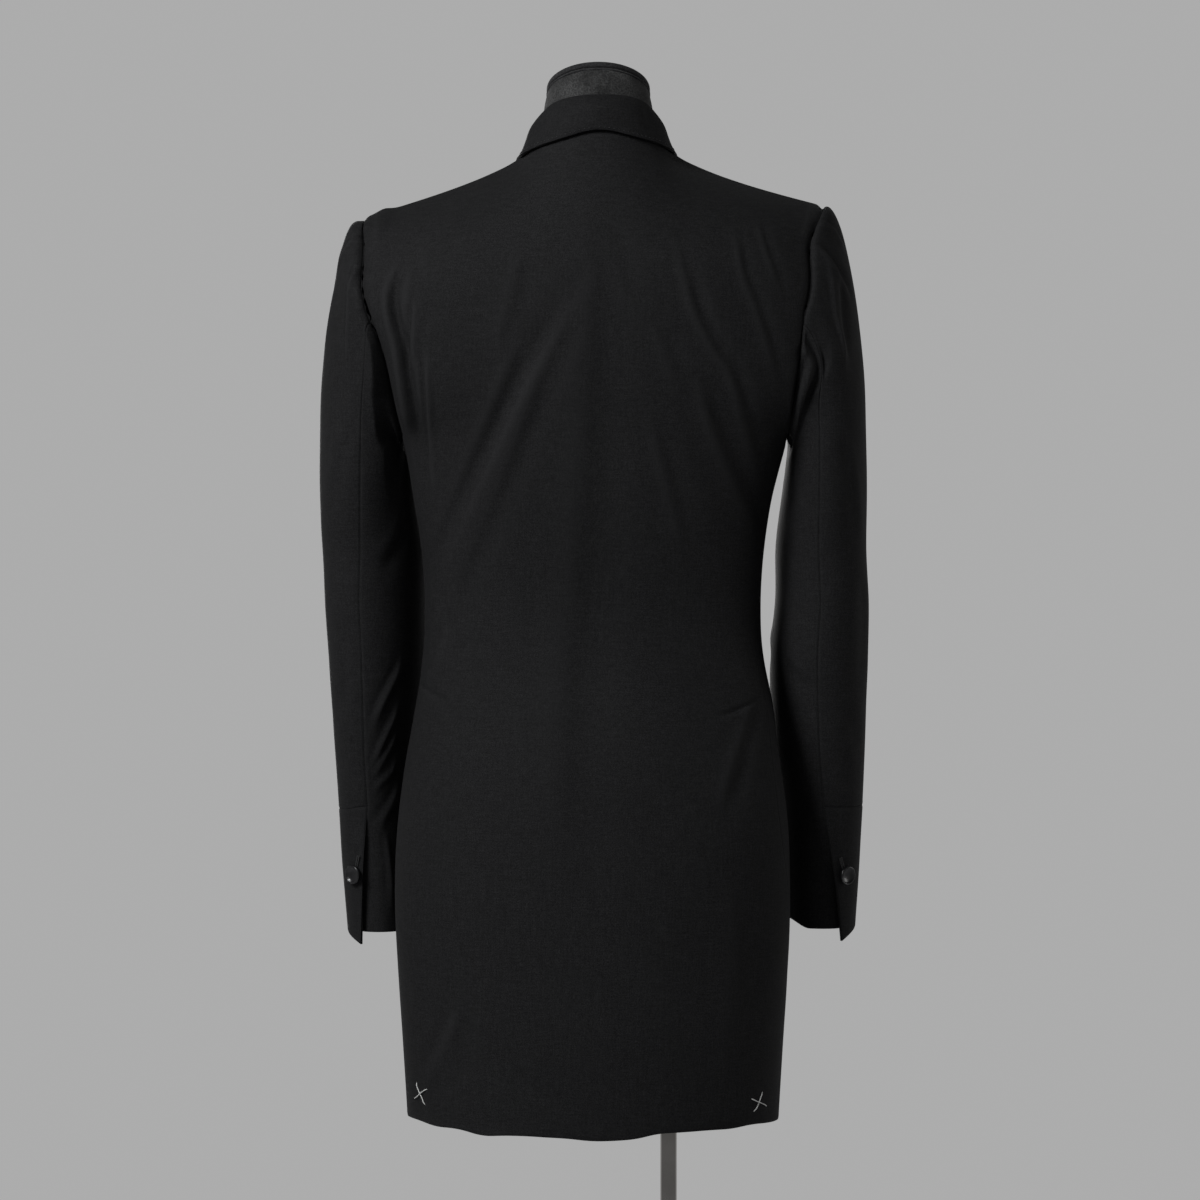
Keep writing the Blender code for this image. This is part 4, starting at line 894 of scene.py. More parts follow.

# %% [markdown]
# ## Folds and creases
#
# Cloth that hangs from the shoulders and is nipped at the waist drags into long soft
# diagonals, each one a slope that catches the light or loses it. They are listed one by one:
# every line says how much it steps down across itself, how deep it sinks, and how wide it
# is. A step makes one dark or bright line, a sink makes a valley and a negative sink a
# ridge. They start and end softly, and no two are alike. The same kind of table serves the
# back, fronts and sleeves.

# %% A crease as a soft change of height
def laid(x, z, creases):
    """How far creases move points out, for places x across and z up. Creases are in mm."""
    push = np.zeros_like(x)
    for step, sink, half_width, *points in creases:
        step, sink, half_width = step / 1000, sink / 1000, half_width / 1000
        path = curved(np.array(points) / 1000, [6] * (len(points) - 1))
        legs = np.diff(path, axis=0)
        lengths = np.linalg.norm(legs, axis=1)
        starts = np.concatenate([[0.0], np.cumsum(lengths)])
        best = np.full(x.shape, 1e9)
        signed, share = np.zeros_like(x), np.zeros_like(x)
        near = (x > path[:, 0].min() - 4 * half_width) & (x < path[:, 0].max() + 4 * half_width)
        near &= (z > path[:, 1].min() - 4 * half_width) & (z < path[:, 1].max() + 4 * half_width)
        nx, nz = x[near], z[near]
        found, where, sign = best[near], share[near], signed[near]
        for (px, pz), (dx, dz), length, start in zip(path, legs, lengths, starts):
            t = np.clip(((nx - px) * dx + (nz - pz) * dz) / length ** 2, 0.0, 1.0)
            ax, az = nx - px - dx * t, nz - pz - dz * t
            away = np.hypot(ax, az)
            closer = away < found
            found = np.where(closer, away, found)
            where = np.where(closer, (start + t * length) / starts[-1], where)
            sign = np.where(closer, np.sign(dx * az - dz * ax), sign)
        ends = smooth(where / 0.3) * smooth((1 - where) / 0.35)
        q = sign * found / (half_width * (0.8 + 0.4 * where))
        push[near] += ends * (step * q / 0.43 - sink) * np.exp(-q * q)
    return push


# %% A slow unevenness
def uneven(x, z, size, seed):
    """A slow random swell, from a few waves that don't repeat. It stays within 1."""
    phases = np.random.default_rng(seed).uniform(0, math.tau, (5, 2))
    turns = np.random.default_rng(seed + 1).uniform(0, math.tau, 5)
    total = np.zeros_like(x)
    for k, (turn, (a, b)) in enumerate(zip(turns, phases)):
        pitch = size * (0.7 + 0.25 * k)
        along = (x * math.cos(turn) + z * math.sin(turn)) * math.tau / pitch
        total += np.sin(along + a + 0.6 * np.sin(along * 0.37 + b))
    return total / 5


# %% Creases of the back and the fronts, in millimetres
BACK_CREASES = (
    # step down towards the wearer's right, sink, half width, (across, height) from the top
    (1.8, 0.4, 6.4, (-72, 1352), (-81, 1313), (-92, 1275), (-107, 1245), (-123, 1221),
     (-135, 1183), (-146, 1144), (-150, 1105)),
    (1.4, 0.3, 5, (-126, 1364), (-129, 1335), (-133, 1311), (-142, 1287), (-150, 1264),
     (-159, 1235), (-166, 1200)),
    (1.1, 0.2, 4, (-145, 1366), (-154, 1331), (-163, 1305), (-169, 1285)),
    (2.2, 0.6, 10.5, (-90, 1228), (-104, 1187), (-116, 1157), (-130, 1126), (-143, 1096),
     (-150, 1050)),
    (0.6, 0, 8, (-54, 1270), (-68, 1232), (-84, 1195)),
    (1, 0.2, 9, (-50, 1196), (-63, 1148), (-72, 1113), (-79, 1087), (-88, 1045)),
    (0.5, 0, 7, (-12, 1358), (-25, 1311), (-35, 1270)),
    (4.4, 1.6, 5.6, (165.5, 1330), (172.8, 1311), (177.2, 1290), (174.2, 1268), (169.4, 1251),
     (165.2, 1226), (161.6, 1200), (156.5, 1171), (153, 1145)),
    (1, 0.1, 7.2, (163, 1205), (157.5, 1175), (154, 1145), (152.5, 1110), (153.5, 1065)),
    (-0.5, 0, 3.5, (156, 1345), (152, 1322), (150, 1296)),
    (-2, -0.7, 3.1, (157, 1296), (158, 1262), (160, 1243), (162, 1215)),
    (-2.3, -0.7, 3.2, (147, 1256), (146, 1213), (145, 1190), (144, 1161), (144, 1110)),
    (1, 0.2, 10.5, (46, 1295), (68, 1234), (89, 1181), (112, 1127), (133, 1075), (147, 1030)),
    (-1.9, -0.2, 10, (4, 1318), (42, 1247), (76, 1182), (107, 1121), (133, 1065), (154, 1012),
     (166, 975)),
    (1, 0.2, 9.5, (28, 1240), (49, 1196), (76, 1130), (103, 1070), (124, 1017), (138, 970)),
    (0.7, 0, 11, (56, 1345), (66, 1296), (78, 1250), (86, 1215)),
    (-0.4, 0, 11, (0, 1350), (14, 1270), (31, 1221), (50, 1160)),
    (1.6, 0, 24, (-2, 1420), (0, 1252), (3, 1157), (13, 1026), (20, 939), (22, 830), (20, 700)),
    (1.2, 0.4, 15, (-124, 800), (-129, 730), (-128, 667), (-121, 579)),
    (-1, -0.3, 7, (122, 676), (128.3, 654.5), (138, 632), (148, 611), (154, 590)),
    (0.6, 0, 9, (110, 680), (119, 640), (128, 590)),
    (-1, 0, 12, (-144, 926), (-134, 905), (-127, 880)),
    (2.1, 0.3, 8.5, (-147, 945), (-134, 906), (-121, 866), (-110, 830)),
    (-0.8, 0, 8, (128, 1010), (139, 985), (148, 955)),
)
WAIST_DARTS = (
    # the same, but from the side seam inwards, where a short dart nips the waist
    (0.6, 1.6, 2.2, (158, 952), (150, 947), (141, 942), (122, 935)),
    (0.6, 1.6, 2.4, (-152, 942), (-139, 936), (-120, 928), (-103, 925)),
)
FRONT_CREASES = (
    # for a left front; the right one takes them a little shorter and shallower
    (-1.2, 0.3, 10, (10, 1020), (45, 1045), (85, 1085), (120, 1130)),
    (-0.9, 0.2, 8, (12, 1005), (55, 1000), (105, 990)),
    (1.1, 0.2, 10, (14, 992), (50, 955), (90, 905), (115, 850)),
    (1.5, 1, 12, (158, 1300), (150, 1240), (142, 1180), (140, 1120)),
    (-0.9, 0, 9, (128, 1310), (120, 1250), (118, 1200)),
    (1, 0.3, 16, (85, 780), (92, 700), (94, 600)),
    (-0.8, 0, 14, (135, 760), (140, 680), (142, 600)),
)
print("creases:", len(BACK_CREASES), "on the back,", len(FRONT_CREASES), "on a front")

# %% Creases of the sleeves, in millimetres
STEP_WIDTH = 21.5
LEFT_ARM = (
    # step, sink, half width, (steps round the arm, height): the back seam is at step 4, the
    # outer side at 8, the front seam at 13 and the inner side round 0
    (-2.2, -1.1, 3.4, (5.45, 1330), (5.28, 1305), (5.05, 1285), (5.12, 1262), (5.15, 1238)),
    (-0.8, -0.8, 3.4, (6.3, 1362), (6.5, 1344), (6.7, 1330), (6.9, 1310)),
    (0.8, 0.3, 8, (4.6, 1345), (4.5, 1310), (4.4, 1270), (4.5, 1230)),
    (-1, 0.3, 11, (6.6, 1330), (7.2, 1280), (7.6, 1230)),
    (0.7, 0.3, 10, (4.3, 1190), (5.3, 1150), (6, 1100)),
    (1.2, 0.6, 9, (1.2, 1110), (2.2, 1075), (3.4, 1050)),
    (-1.4, -1.2, 5, (1.7, 978), (2.1, 962), (2.7, 944), (3.3, 924), (3.7, 906)),
    (-1.2, -1.2, 4.4, (1.8, 938), (2.3, 920), (2.8, 904), (3.4, 885), (3.8, 872)),
    (-1, -1, 3.8, (1.9, 912), (2.4, 896), (3.2, 877), (3.7, 865)),
    (-0.8, -1, 3.6, (1.9, 886), (2.4, 872), (3.3, 860), (3.8, 851)),
    (-1, -0.8, 5.2, (1.8, 864), (2.4, 846), (3.2, 828), (3.5, 814)),
    (-0.9, -0.9, 6, (3.1, 822), (2.85, 800), (2.75, 770), (2.9, 735)),
    (0, 1.2, 6, (3.7, 835), (3.5, 800), (3.55, 765), (3.5, 735)),
    (-0.8, 0.2, 12, (4.5, 960), (5.2, 930), (6.2, 915)),
    (1.3, 0.7, 11, (13.6, 1040), (14.6, 1010), (15.6, 1000)),
    (1.2, 0.7, 10, (-2.6, 1000), (-1.4, 975), (0, 965)),
    (1.1, 0.5, 10, (12.6, 1000), (11.4, 965), (10.6, 915)),
    (1.3, 0.6, 12, (12.7, 1260), (12.2, 1200), (12, 1130)),
)
RIGHT_ARM = (
    (-2, 0.2, 6, (5.6, 1348), (5.85, 1335), (6, 1322), (6.25, 1308), (6.5, 1290)),
    (-1.2, 0, 4.6, (6.2, 1372), (6.55, 1363), (7, 1355), (7.5, 1340)),
    (0.6, -0.9, 3, (5.75, 1340), (5.5, 1318), (5.2, 1298), (4.85, 1265), (4.8, 1245),
     (4.9, 1225)),
    (-1.8, 0, 8, (6.15, 1330), (5.75, 1305), (5.45, 1280), (5.25, 1255), (5.25, 1225)),
    (0, 4, 5, (2.2, 1250), (2.55, 1240), (2.9, 1233), (2.3, 1222), (1.8, 1212)),
    (0, -3.6, 4, (3.1, 1268), (3.05, 1252), (3.2, 1236), (2.95, 1220), (2.4, 1203), (1.7, 1186)),
    (0, 3.6, 4.2, (3.45, 1270), (3.38, 1250), (3.5, 1236), (3.3, 1219), (2.7, 1202),
     (1.9, 1182)),
    (1, 0.4, 9, (4.9, 1180), (5.6, 1130), (6, 1070)),
    (0.8, 0.3, 13, (6.2, 1060), (6.6, 990), (6.3, 930)),
    (1, 0.6, 8, (1.4, 980), (2.4, 960), (3.5, 950)),
    (-0.8, 0.2, 12, (4.7, 930), (5.4, 900), (6.2, 890)),
    (1.3, 0.7, 11, (13.6, 1050), (14.6, 1025), (15.6, 1010)),
    (1.2, 0.7, 10, (-2.6, 1010), (-1.4, 990), (0, 975)),
    (1.1, 0.5, 10, (12.6, 985), (11.4, 950), (10.6, 900)),
    (1.3, 0.6, 12, (12.7, 1280), (12.2, 1220), (12, 1150)),
)
print("creases:", len(LEFT_ARM), "on the left sleeve,", len(RIGHT_ARM), "on the right")

# %% [markdown]
# ## From a net to a sewn piece
#
# A finished panel is a thin wall: the face, the wrong side, and a rim between them. The
# face is drawn in by half a seam's gap and its border rolls under a little. The wall is
# a millimetre and a half, and nearly doubled where a hem is turned up. A painted sheen is
# kept for each point, strongest on a raised crease and along a rolled edge.

# %% Wall, roll and painted sheen
WALL, ROLL, ROLL_WIDTH, HEM_DEPTH, HEM_THICKER = 0.0014, 0.0005, 0.0020, 0.038, 0.0008
SEAM_HOLD = 0.006   # creases die out this close to a seam
# a ridge this high gets the full painted sheen; the painted sheen's strength on ridges and along
# rolled edges
RIDGE, RIDGE_PAINTED_SHEEN, EDGE_PAINTED_SHEEN = 0.0014, 0.40, 0.12


def border_distance(net):
    """Across and down distances of each point, and how far it is from the border."""
    across, down = walked(net, 1), walked(net, 0)
    sides = (across, across[:, -1:] - across, down, down[-1:] - down)
    return across, down, np.minimum.reduce(sides)


def cells_of(net, normals, first=0):
    """A net's point numbers, its cells as quads that face its normals, and their turn."""
    rows, columns = net.shape[:2]
    index = np.arange(rows * columns).reshape(rows, columns) + first
    quads = np.stack([index[:-1, :-1], index[:-1, 1:], index[1:, 1:], index[1:, :-1]], -1)
    r, c = rows // 2, columns // 2
    way = np.cross(net[r, c + 1] - net[r, c], net[r + 1, c] - net[r, c])
    turn = 1 if way @ normals[r, c] > 0 else -1
    return index, quads.reshape(-1, 4)[:, ::turn], turn


def wall_mesh(name, face, rear, normals, grain, painted_sheen):
    """A closed wall between two nets, with its grain map and painted sheen."""
    index, quads, turn = cells_of(face, normals)
    loop = np.concatenate([index[0], index[1:, -1], index[-1, -2::-1], index[-2:0:-1, 0]])
    after, count = np.roll(loop, -1), index.size
    rim = np.stack([loop, loop + count, after + count, after], -1)[:, ::turn]
    quads = np.concatenate([quads, quads[:, ::-1] + count, rim])
    mesh = bpy.data.meshes.new(name)
    mesh.from_pydata(np.concatenate([face.reshape(-1, 3), rear.reshape(-1, 3)]).tolist(), [],
                     quads.tolist())
    corner = np.empty(len(mesh.loops), np.int32)
    mesh.loops.foreach_get("vertex_index", corner)
    layer = mesh.uv_layers.new(name="grain")
    layer.uv.foreach_set("vector", grain.reshape(-1, 2)[corner % count].astype(np.float32).ravel())
    # painted sheen for each point, which the wool mixes towards a lighter colour
    shine = mesh.attributes.new("painted_sheen", "FLOAT", "POINT")
    shine.data.foreach_set("value", np.tile(painted_sheen.ravel(), 2).astype(np.float32))
    mesh.shade_smooth()
    return mesh


# %% A piece in its place
def placed(name, mesh, material, replaced=()):
    """A finished piece that rides with the part and stands for its CAD nodes."""
    piece = bpy.data.objects.new(name, mesh)
    mesh.materials.append(material)
    scene.collection.objects.link(piece)
    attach(piece, "root")
    if replaced:
        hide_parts(*replaced)
    print(f"{name}: {len(mesh.polygons)} faces")
    return piece


def sewn(name, net, normals, push, thickness, node, roll=ROLL, sink=0.0):
    """One panel of cloth. push moves its face out, away from the seams; sink at them too."""
    across, down, inside = border_distance(net)
    rolled = 1 - smooth(inside / ROLL_WIDTH)
    push = push * smooth(inside / SEAM_HOLD) - roll * rolled - sink
    face = net + normals * push[..., None]
    for side in (0, 1):
        for edge, beside in ((0, 1), (-1, -2)):
            line = np.take(face, edge, side)
            moved = line + unit(np.take(face, beside, side) - line) * SEAM_GAP / 2
            face[(edge,) if side == 0 else (slice(None), edge)] = moved
    rear = face - normals * np.reshape(thickness, (*np.shape(thickness), 1))
    middle = net.shape[1] // 2
    grain = np.stack([across - across[:, middle:middle + 1], down], -1)
    # painted sheen: the colour is painted lighter on raised creases and in a band along each
    # rolled edge
    raised = push - (np.roll(push, 3, 1) + np.roll(push, -3, 1)) / 2
    painted_sheen = np.clip(raised / RIDGE, 0, 1) * RIDGE_PAINTED_SHEEN * (inside > 0.01)
    painted_sheen = np.maximum(painted_sheen, EDGE_PAINTED_SHEEN * smooth(1 - np.abs(inside - 0.002) / 0.0016))
    mesh = wall_mesh(name, face, rear, normals, grain, painted_sheen)
    piece = placed(name, mesh, wool, [node])
    return piece, face


# %% Measures of a net
def beside_armhole(net):
    """1 on the armhole's upper seam, falling softly to nothing ten millimetres away."""
    found = np.zeros(net.shape[:2])
    for line in armholes:
        close = np.abs(net - line.mean(0)).max(2) < 0.14
        part = net[close]
        away = np.concatenate([np.linalg.norm(block[:, None] - line, axis=2).min(1)
                               for block in np.array_split(part, len(part) // 400 + 1)])
        found[close] = np.maximum(found[close], bell(away, 0.0, ARMHOLE_GROOVE))
    return found * smooth((net[..., 2] - GROOVE_FOOT) / 0.05)


# %% The body
ARMHOLE_SINK, ARMHOLE_GROOVE, GROOVE_FOOT = 0.0028, 0.0034, 1.245
armholes = [closely(nets[name][0]) for name in ("top_sleeve_left", "under_sleeve_left",
                                                "top_sleeve_right", "under_sleeve_right")]
print("armholes reach down to", [round(line[:, 2].min(), 3) for line in armholes])
BODY = ("back", "front_left", "front_right")
cloth, faces = {}, {}
for name in BODY:
    net = nets[name]
    x, z = net[..., 0], net[..., 2]
    if name == "back":
        push = laid(x, z, BACK_CREASES) + laid(x, z, WAIST_DARTS)
        push += 0.0004 * uneven(x, z, 0.11, 4)
        push += 0.0016 * smooth((0.72 - z) / 0.12) * uneven(x, z * 0.15, 0.16, 21)
    else:
        side, share = (1, 0.7) if name == "front_left" else (-1, 0.55)
        creases = [(step * share, sink * share, width, *path)
                   for step, sink, width, *path in FRONT_CREASES]
        push = laid(side * x, z, creases) + 0.0004 * uneven(x, z, 0.12, 7)
    hem = smooth((HEM + HEM_DEPTH - z) / 0.006)
    cloth[name], faces[name] = sewn("jacket_" + name, net, normals[name], push,
                                    WALL + HEM_THICKER * hem, node=name,
                                    sink=ARMHOLE_SINK * beside_armhole(net))

# %% The sleeves and cuffs
PUFF = {"left": 0.0030, "right": 0.0004}
for side, arm, seed in (("left", LEFT_ARM, 11), ("right", RIGHT_ARM, 17)):
    for kind in ("top_sleeve", "under_sleeve", "cuff"):
        name = f"{kind}_{side}"
        net, steps = widened(nets[name], 2), widened(step_of[name][None], 2)[0]
        way = unit(widened(normals[name], 2))
        x, z = np.broadcast_to(steps * STEP_WIDTH / 1000, net.shape[:2]), net[..., 2]
        creases = [(step, sink, width, *[(p * STEP_WIDTH, h) for p, h in path])
                   for step, sink, width, *path in arm]
        push = laid(x, z, creases) + 0.0004 * uneven(x, z, 0.09, seed)
        if kind == "cuff":
            push = push * 0.2
        if kind == "top_sleeve":
            fallen = walked(net, 0)
            head = smooth((steps - 4.6) / 1.6) * smooth((11.6 - steps) / 2.0)
            push += PUFF[side] * head * (
                smooth(fallen / 0.012) * (1 - smooth((fallen - 0.012) / 0.05)))
        hem = smooth((SLEEVE_HEM + HEM_DEPTH - z) / 0.006) if kind != "top_sleeve" else 0 * z
        sink = ARMHOLE_SINK * beside_armhole(net)
        cloth[name], faces[name] = sewn("jacket_" + name, net, way, push,
                                        WALL + HEM_THICKER * hem, node=name, sink=sink)

# %% [markdown]
# ## Collar
#
# The collar is one strip that stands up round the neck, rolls over and falls outside. The
# line of the roll is the collar's fold. Here it is a single sheet whose rows run up the
# inside of the stand, over the fold and down the leaf to its free edge, so the roll is a
# real bend in the cloth. The leaf is lifted where it would touch the back beneath.

# %% Lines of the collar
COLLAR_FOLD = (
    # x, y, height, from the centre back to the front end
    (0.0, 0.0585, 1.4710), (0.0325, 0.0490, 1.4685), (0.0495, 0.0220, 1.4610),
    (0.0530, -0.0070, 1.4490), (0.0545, -0.0380, 1.4200), (0.0520, -0.0660, 1.3800),
)
COLLAR_EDGE = (
    (0.0, 0.0768, 1.4430), (0.0380, 0.0624, 1.4342), (0.0582, 0.0325, 1.4255),
    (0.0695, -0.0030, 1.4180), (0.0840, -0.0400, 1.3900), (0.0900, -0.0830, 1.3430),
)
COLLAR_CLEAR, COLLAR_COLUMNS, LEAF_BULGE, COLLAR_WALL = 0.0032, 14, 0.0020, 0.0016
STAND_NECK, STAND_SET, STAND_RISE, STAND_DROP, STAND_BELOW = 0.6, 0.0030, 0.0016, 0.0040, 0.0030
FOLD_SET = 0.0012


def along(points, t):
    """A place on a line of the collar: 0 at the centre back, where it is level, 1 in front."""
    x, *rest = points[1]
    rows = [(i / (len(points) - 1), *point) for i, point in enumerate(points)]
    return between([(-rows[1][0], -x, *rest), *rows], t)


def surface_of(nets):
    """Nets as one surface that points can be measured against, facing outwards."""
    verts, quads = [], []
    for net, way in nets:
        quads += cells_of(net, way, len(verts))[1].tolist()
        verts += net.reshape(-1, 3).tolist()
    return BVHTree.FromPolygons(verts, quads)


def lifted(ground, point, clear, settled=0.0):
    """The point, at least clear of the cloth below it, and let down on it by a share."""
    near, normal, _, _ = ground.find_nearest(Vector(point))
    height = (Vector(point) - near).dot(normal)
    return point + np.array(normal) * max((clear - height) * settled, clear - height)


# %% The rolled collar
ground = surface_of([(faces[name], normals[name]) for name in BODY])
columns = []
for c in range(-COLLAR_COLUMNS, COLLAR_COLUMNS + 1):
    share, side = abs(c) / COLLAR_COLUMNS, -1 if c < 0 else 1
    sideways = smooth(share * 2)
    if share < STAND_NECK:
        foot = neckline(share / STAND_NECK)
    else:
        slide = (share - STAND_NECK) / (1 - STAND_NECK)
        foot = NECK_POINT + (np.array(COLLAR_FOLD[-1]) - NECK_POINT) * slide
        foot[2] -= STAND_DROP * slide
    foot = foot + (-STAND_SET * sideways, -STAND_SET * (1 - sideways), STAND_RISE)
    fold, edge = along(COLLAR_FOLD, share), along(COLLAR_EDGE, share)
    head = fold + (-FOLD_SET * sideways, -FOLD_SET * (1 - share), -STAND_BELOW)
    inwards = unit(np.array((-sideways, sideways - 1.0, 0.0))) * COLLAR_WALL
    line = [foot + inwards, (foot + head) / 2 + inwards, head + inwards,
            fold + (0.0, 0.0, COLLAR_WALL * 0.9)]
    line = [leaned(point * (side, 1, 1)) for point in line]
    drawn_in = smooth((share - 0.15) / 0.3) * (1 - smooth((share - 0.7) / 0.3))
    bulge = LEAF_BULGE * (1 - 3.0 * drawn_in)
    for down in (1 / 3, 2 / 3, 1.0):
        point = fold + (edge - fold) * down
        out = point * (1, 1, 0) / np.hypot(point[0], point[1])
        point = leaned((point + out * bulge * math.sin(math.pi * down)) * (side, 1, 1))
        settled = max(0.0, 1.5 * down - 0.5) * (1 - smooth((share - 0.30) / 0.25))
        line.append(lifted(ground, point, COLLAR_CLEAR, settled)
                    + out * (side, 1, 1) * COLLAR_WALL * 0.9)
    columns.append(line)
net = widened(np.swapaxes(np.array(columns), 0, 1), 6)
net = edged(curved(net, [4, 4, 5, 9, 8, 9]))
collar_normals = own_normals(net, -4, net[-4] * (1, 1, 0))
x, z = np.broadcast_to(np.linspace(-0.2, 0.2, net.shape[1]), net.shape[:2]), walked(net, 0)
collar, collar_face = sewn("jacket_collar", net, collar_normals, 0.0003 * uneven(x, z, 0.05, 5),
                           COLLAR_WALL, node="collar_leaf", roll=0.0005)
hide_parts("collar_stand")
cloth["collar"], nets["collar"] = collar, net

# %% [markdown]
# ## Peak lapels
#
# A lapel is the front's facing turned out along the roll line. Each one starts a little
# way behind the front, rolls round its edge and lies on the chest with air under it, up
# to the notch and the peak. The curve through its columns makes the roll soft.

# %% Lines of the lapels
GORGE, NOTCH, PEAK = (0.0520, 1.3745), (0.0880, 1.3385), (0.1180, 1.3680)
NOTCH_REACH, LAPEL_ROWS, LAPEL_COLUMNS = 0.4, 10, 5
LAPEL_SET, LAPEL_BELLY = 0.0010, 0.0070
LAPEL_CLEAR, LAPEL_RISE, LAPEL_ROLL = 0.0034, 0.0022, 0.0045
LAPEL_START = {1: 1.0570, -1: 1.1350}
# behind the front: how far past its edge, and how far below its face
TURNED = ((0.0120, -0.0030), (0.0040, -0.0029), (-0.0011, -0.0022), (-0.0016, 0.0008))


def dropped(ground, x, z):
    """The place on a front that lies behind x and z, and the way out from it."""
    hit, normal, _, _ = ground.ray_cast(Vector((x, -0.5, z)), Vector((0.0, 1.0, 0.0)))
    if hit is None:
        hit, normal, _, _ = ground.find_nearest(Vector((x, -0.12, z)))
    normal = np.array(normal if normal.y < 0 else -normal)
    return np.array(hit), normal


# %% A lapel's net
def lapel_net(ground, side):
    start, net = LAPEL_START[side], []
    notch = (NOTCH[0] - GORGE[0]) / (PEAK[0] - GORGE[0])
    dip = GORGE[1] + (PEAK[1] - GORGE[1]) * notch - NOTCH[1]
    for r in range(LAPEL_ROWS + 1):
        up, row = r / LAPEL_ROWS, []
        roll_z = start + (GORGE[1] - start) * up
        roll_x = front_edge_x(roll_z) + LAPEL_SET
        rim_z = start + (PEAK[1] - start) * up
        rim_x = (front_edge_x(start) * (1 - up) + PEAK[0] * up
                 + LAPEL_BELLY * math.sin(math.pi * up))
        for c in range(LAPEL_COLUMNS + 1):
            out = c / LAPEL_COLUMNS
            x, z = roll_x + (rim_x - roll_x) * out, roll_z + (rim_z - roll_z) * out
            bend = out / notch if out < notch else (1 - out) / (1 - notch)
            z -= dip * bend * smooth(1 - (1 - up) / NOTCH_REACH)
            hit, normal = dropped(ground, x, z)
            clear = LAPEL_CLEAR + up * (
                LAPEL_RISE + LAPEL_ROLL * math.sin(math.pi * out ** 0.7))
            row.append(hit + normal * (clear + COLLAR_WALL))
        hit, normal = dropped(ground, roll_x + 0.001, roll_z)
        edge, opened = front_edge_x(roll_z), smooth(up * 5)
        behind = []
        for past, deep in TURNED:
            past = past if past < 0 else -0.0010 + (past + 0.0010) * opened
            behind.append(np.array((edge + past, hit[1] - deep, roll_z)))
        net.append([*behind, *row])
    return np.array(net)


# %% Both lapels
for side, name in ((1, "lapel_left"), (-1, "lapel_right")):
    outside = np.broadcast_to((0.0, -1.0, 0.0), plain_fronts[side].shape)
    net = lapel_net(surface_of([(plain_fronts[side], outside)]), side)
    net = curved(widened(net, 5), [9] * LAPEL_ROWS)
    net = nets[name] = edged(leaned(net * (side, 1, 1)))
    normals[name] = own_normals(net, (len(net) // 2, -12), (0.0, -1.0, 0.0))
    push = 0.0003 * uneven(net[..., 0], net[..., 2], 0.08, 9)
    cloth[name], faces[name] = sewn("jacket_" + name, net, normals[name], push, COLLAR_WALL,
                                    node=name, roll=0.0004)

# %% [markdown]
# ## Threads and turned pieces
#
# A stitch is a thread, so it is built as one: a thin round cord along its own path, which
# dips into the cloth at both ends. Turned pieces such as buttons and the stand are made
# from half an outline, with the corners eased, and spun about their axis.

# %% A mesh of hoops
def hooped(name, tubes, grain=None, sharp=None):
    """A mesh of closed tubes. Each is a stack of hoops of points, with flat ends."""
    verts, quads = [], []
    for hoops in tubes:
        index = np.arange(hoops.shape[0] * hoops.shape[1]).reshape(hoops.shape[:2]) + len(verts)
        after = np.roll(index, -1, 1)
        sides = np.stack([index[:-1], after[:-1], after[1:], index[1:]], -1)
        quads += [*sides.reshape(-1, 4).tolist(), tuple(index[0][::-1]), tuple(index[-1])]
        verts += hoops.reshape(-1, 3).tolist()
    mesh = bpy.data.meshes.new(name)
    mesh.from_pydata(verts, [], quads)
    if grain is not None:
        corner = np.empty(len(mesh.loops), np.int32)
        mesh.loops.foreach_get("vertex_index", corner)
        layer = mesh.uv_layers.new(name="grain")
        layer.uv.foreach_set("vector", grain.reshape(-1, 2)[corner].astype(np.float32).ravel())
    mesh.shade_smooth()
    if sharp:
        mesh.set_sharp_from_angle(angle=math.radians(sharp))
    bm = bmesh.new()
    bm.from_mesh(mesh)
    bmesh.ops.recalc_face_normals(bm, faces=bm.faces)
    bm.to_mesh(mesh)
    bm.free()
    return mesh


# %% Cords
def cord_mesh(name, paths, radius, sides=6):
    """One mesh of many short cords. Each path is a list of points."""
    tubes, turns = [], np.arange(sides)[:, None] * math.tau / sides
    for path in paths:
        path = np.array(path, float)
        way = unit(np.gradient(path, axis=0))
        guide = (0.31, 0.23, 0.92) if abs(way[0, 2]) < 0.8 else (1.0, 0.1, 0.0)
        side = unit(np.cross(way, guide))
        other = np.cross(way, side)
        taper = np.ones((len(path), 1, 1))
        taper[[0, -1]] = 0.45
        tubes.append(path[:, None] + radius * taper * (
            side[:, None] * np.cos(turns) + other[:, None] * np.sin(turns)))
    return hooped(name, tubes)


# %% Turned and padded solids
def turned(name, outline, sides, seat=(0.0, 0.0, 0.0), axis=(0.0, 0.0, 1.0)):
    """A closed solid spun from (radius, height) points, stood on its seat along its axis."""
    radius, height = np.array(outline, float).T[:, :, None]
    turns = np.arange(sides) * math.tau / sides
    ring = np.stack([radius * np.cos(turns), radius * np.sin(turns), height + 0 * turns], -1)
    grain = np.stack([np.arctan2(ring[..., 1], ring[..., 0]) * radius.max(),
                      height + radius + 0 * turns], -1)
    mesh = hooped(name, [ring], grain, sharp=50)
    spin = Vector(axis).to_track_quat("Z", "Y").to_matrix().to_4x4()
    spin.translation = Vector(seat)
    mesh.transform(spin)
    return mesh


def ringed(name, rings):
    """A closed solid of cloth on the form, through rings from the lowest to the highest."""
    rings = np.array(rings)
    middle, sides = rings[len(rings) // 2], rings.shape[1]
    girth_way = np.linalg.norm(middle - middle.mean(0), axis=1).mean()
    turns = np.broadcast_to(np.arange(sides) * math.tau / sides, rings.shape[:2])
    return hooped(name, [rings], np.stack([turns * girth_way, rings[..., 2]], -1), sharp=55)


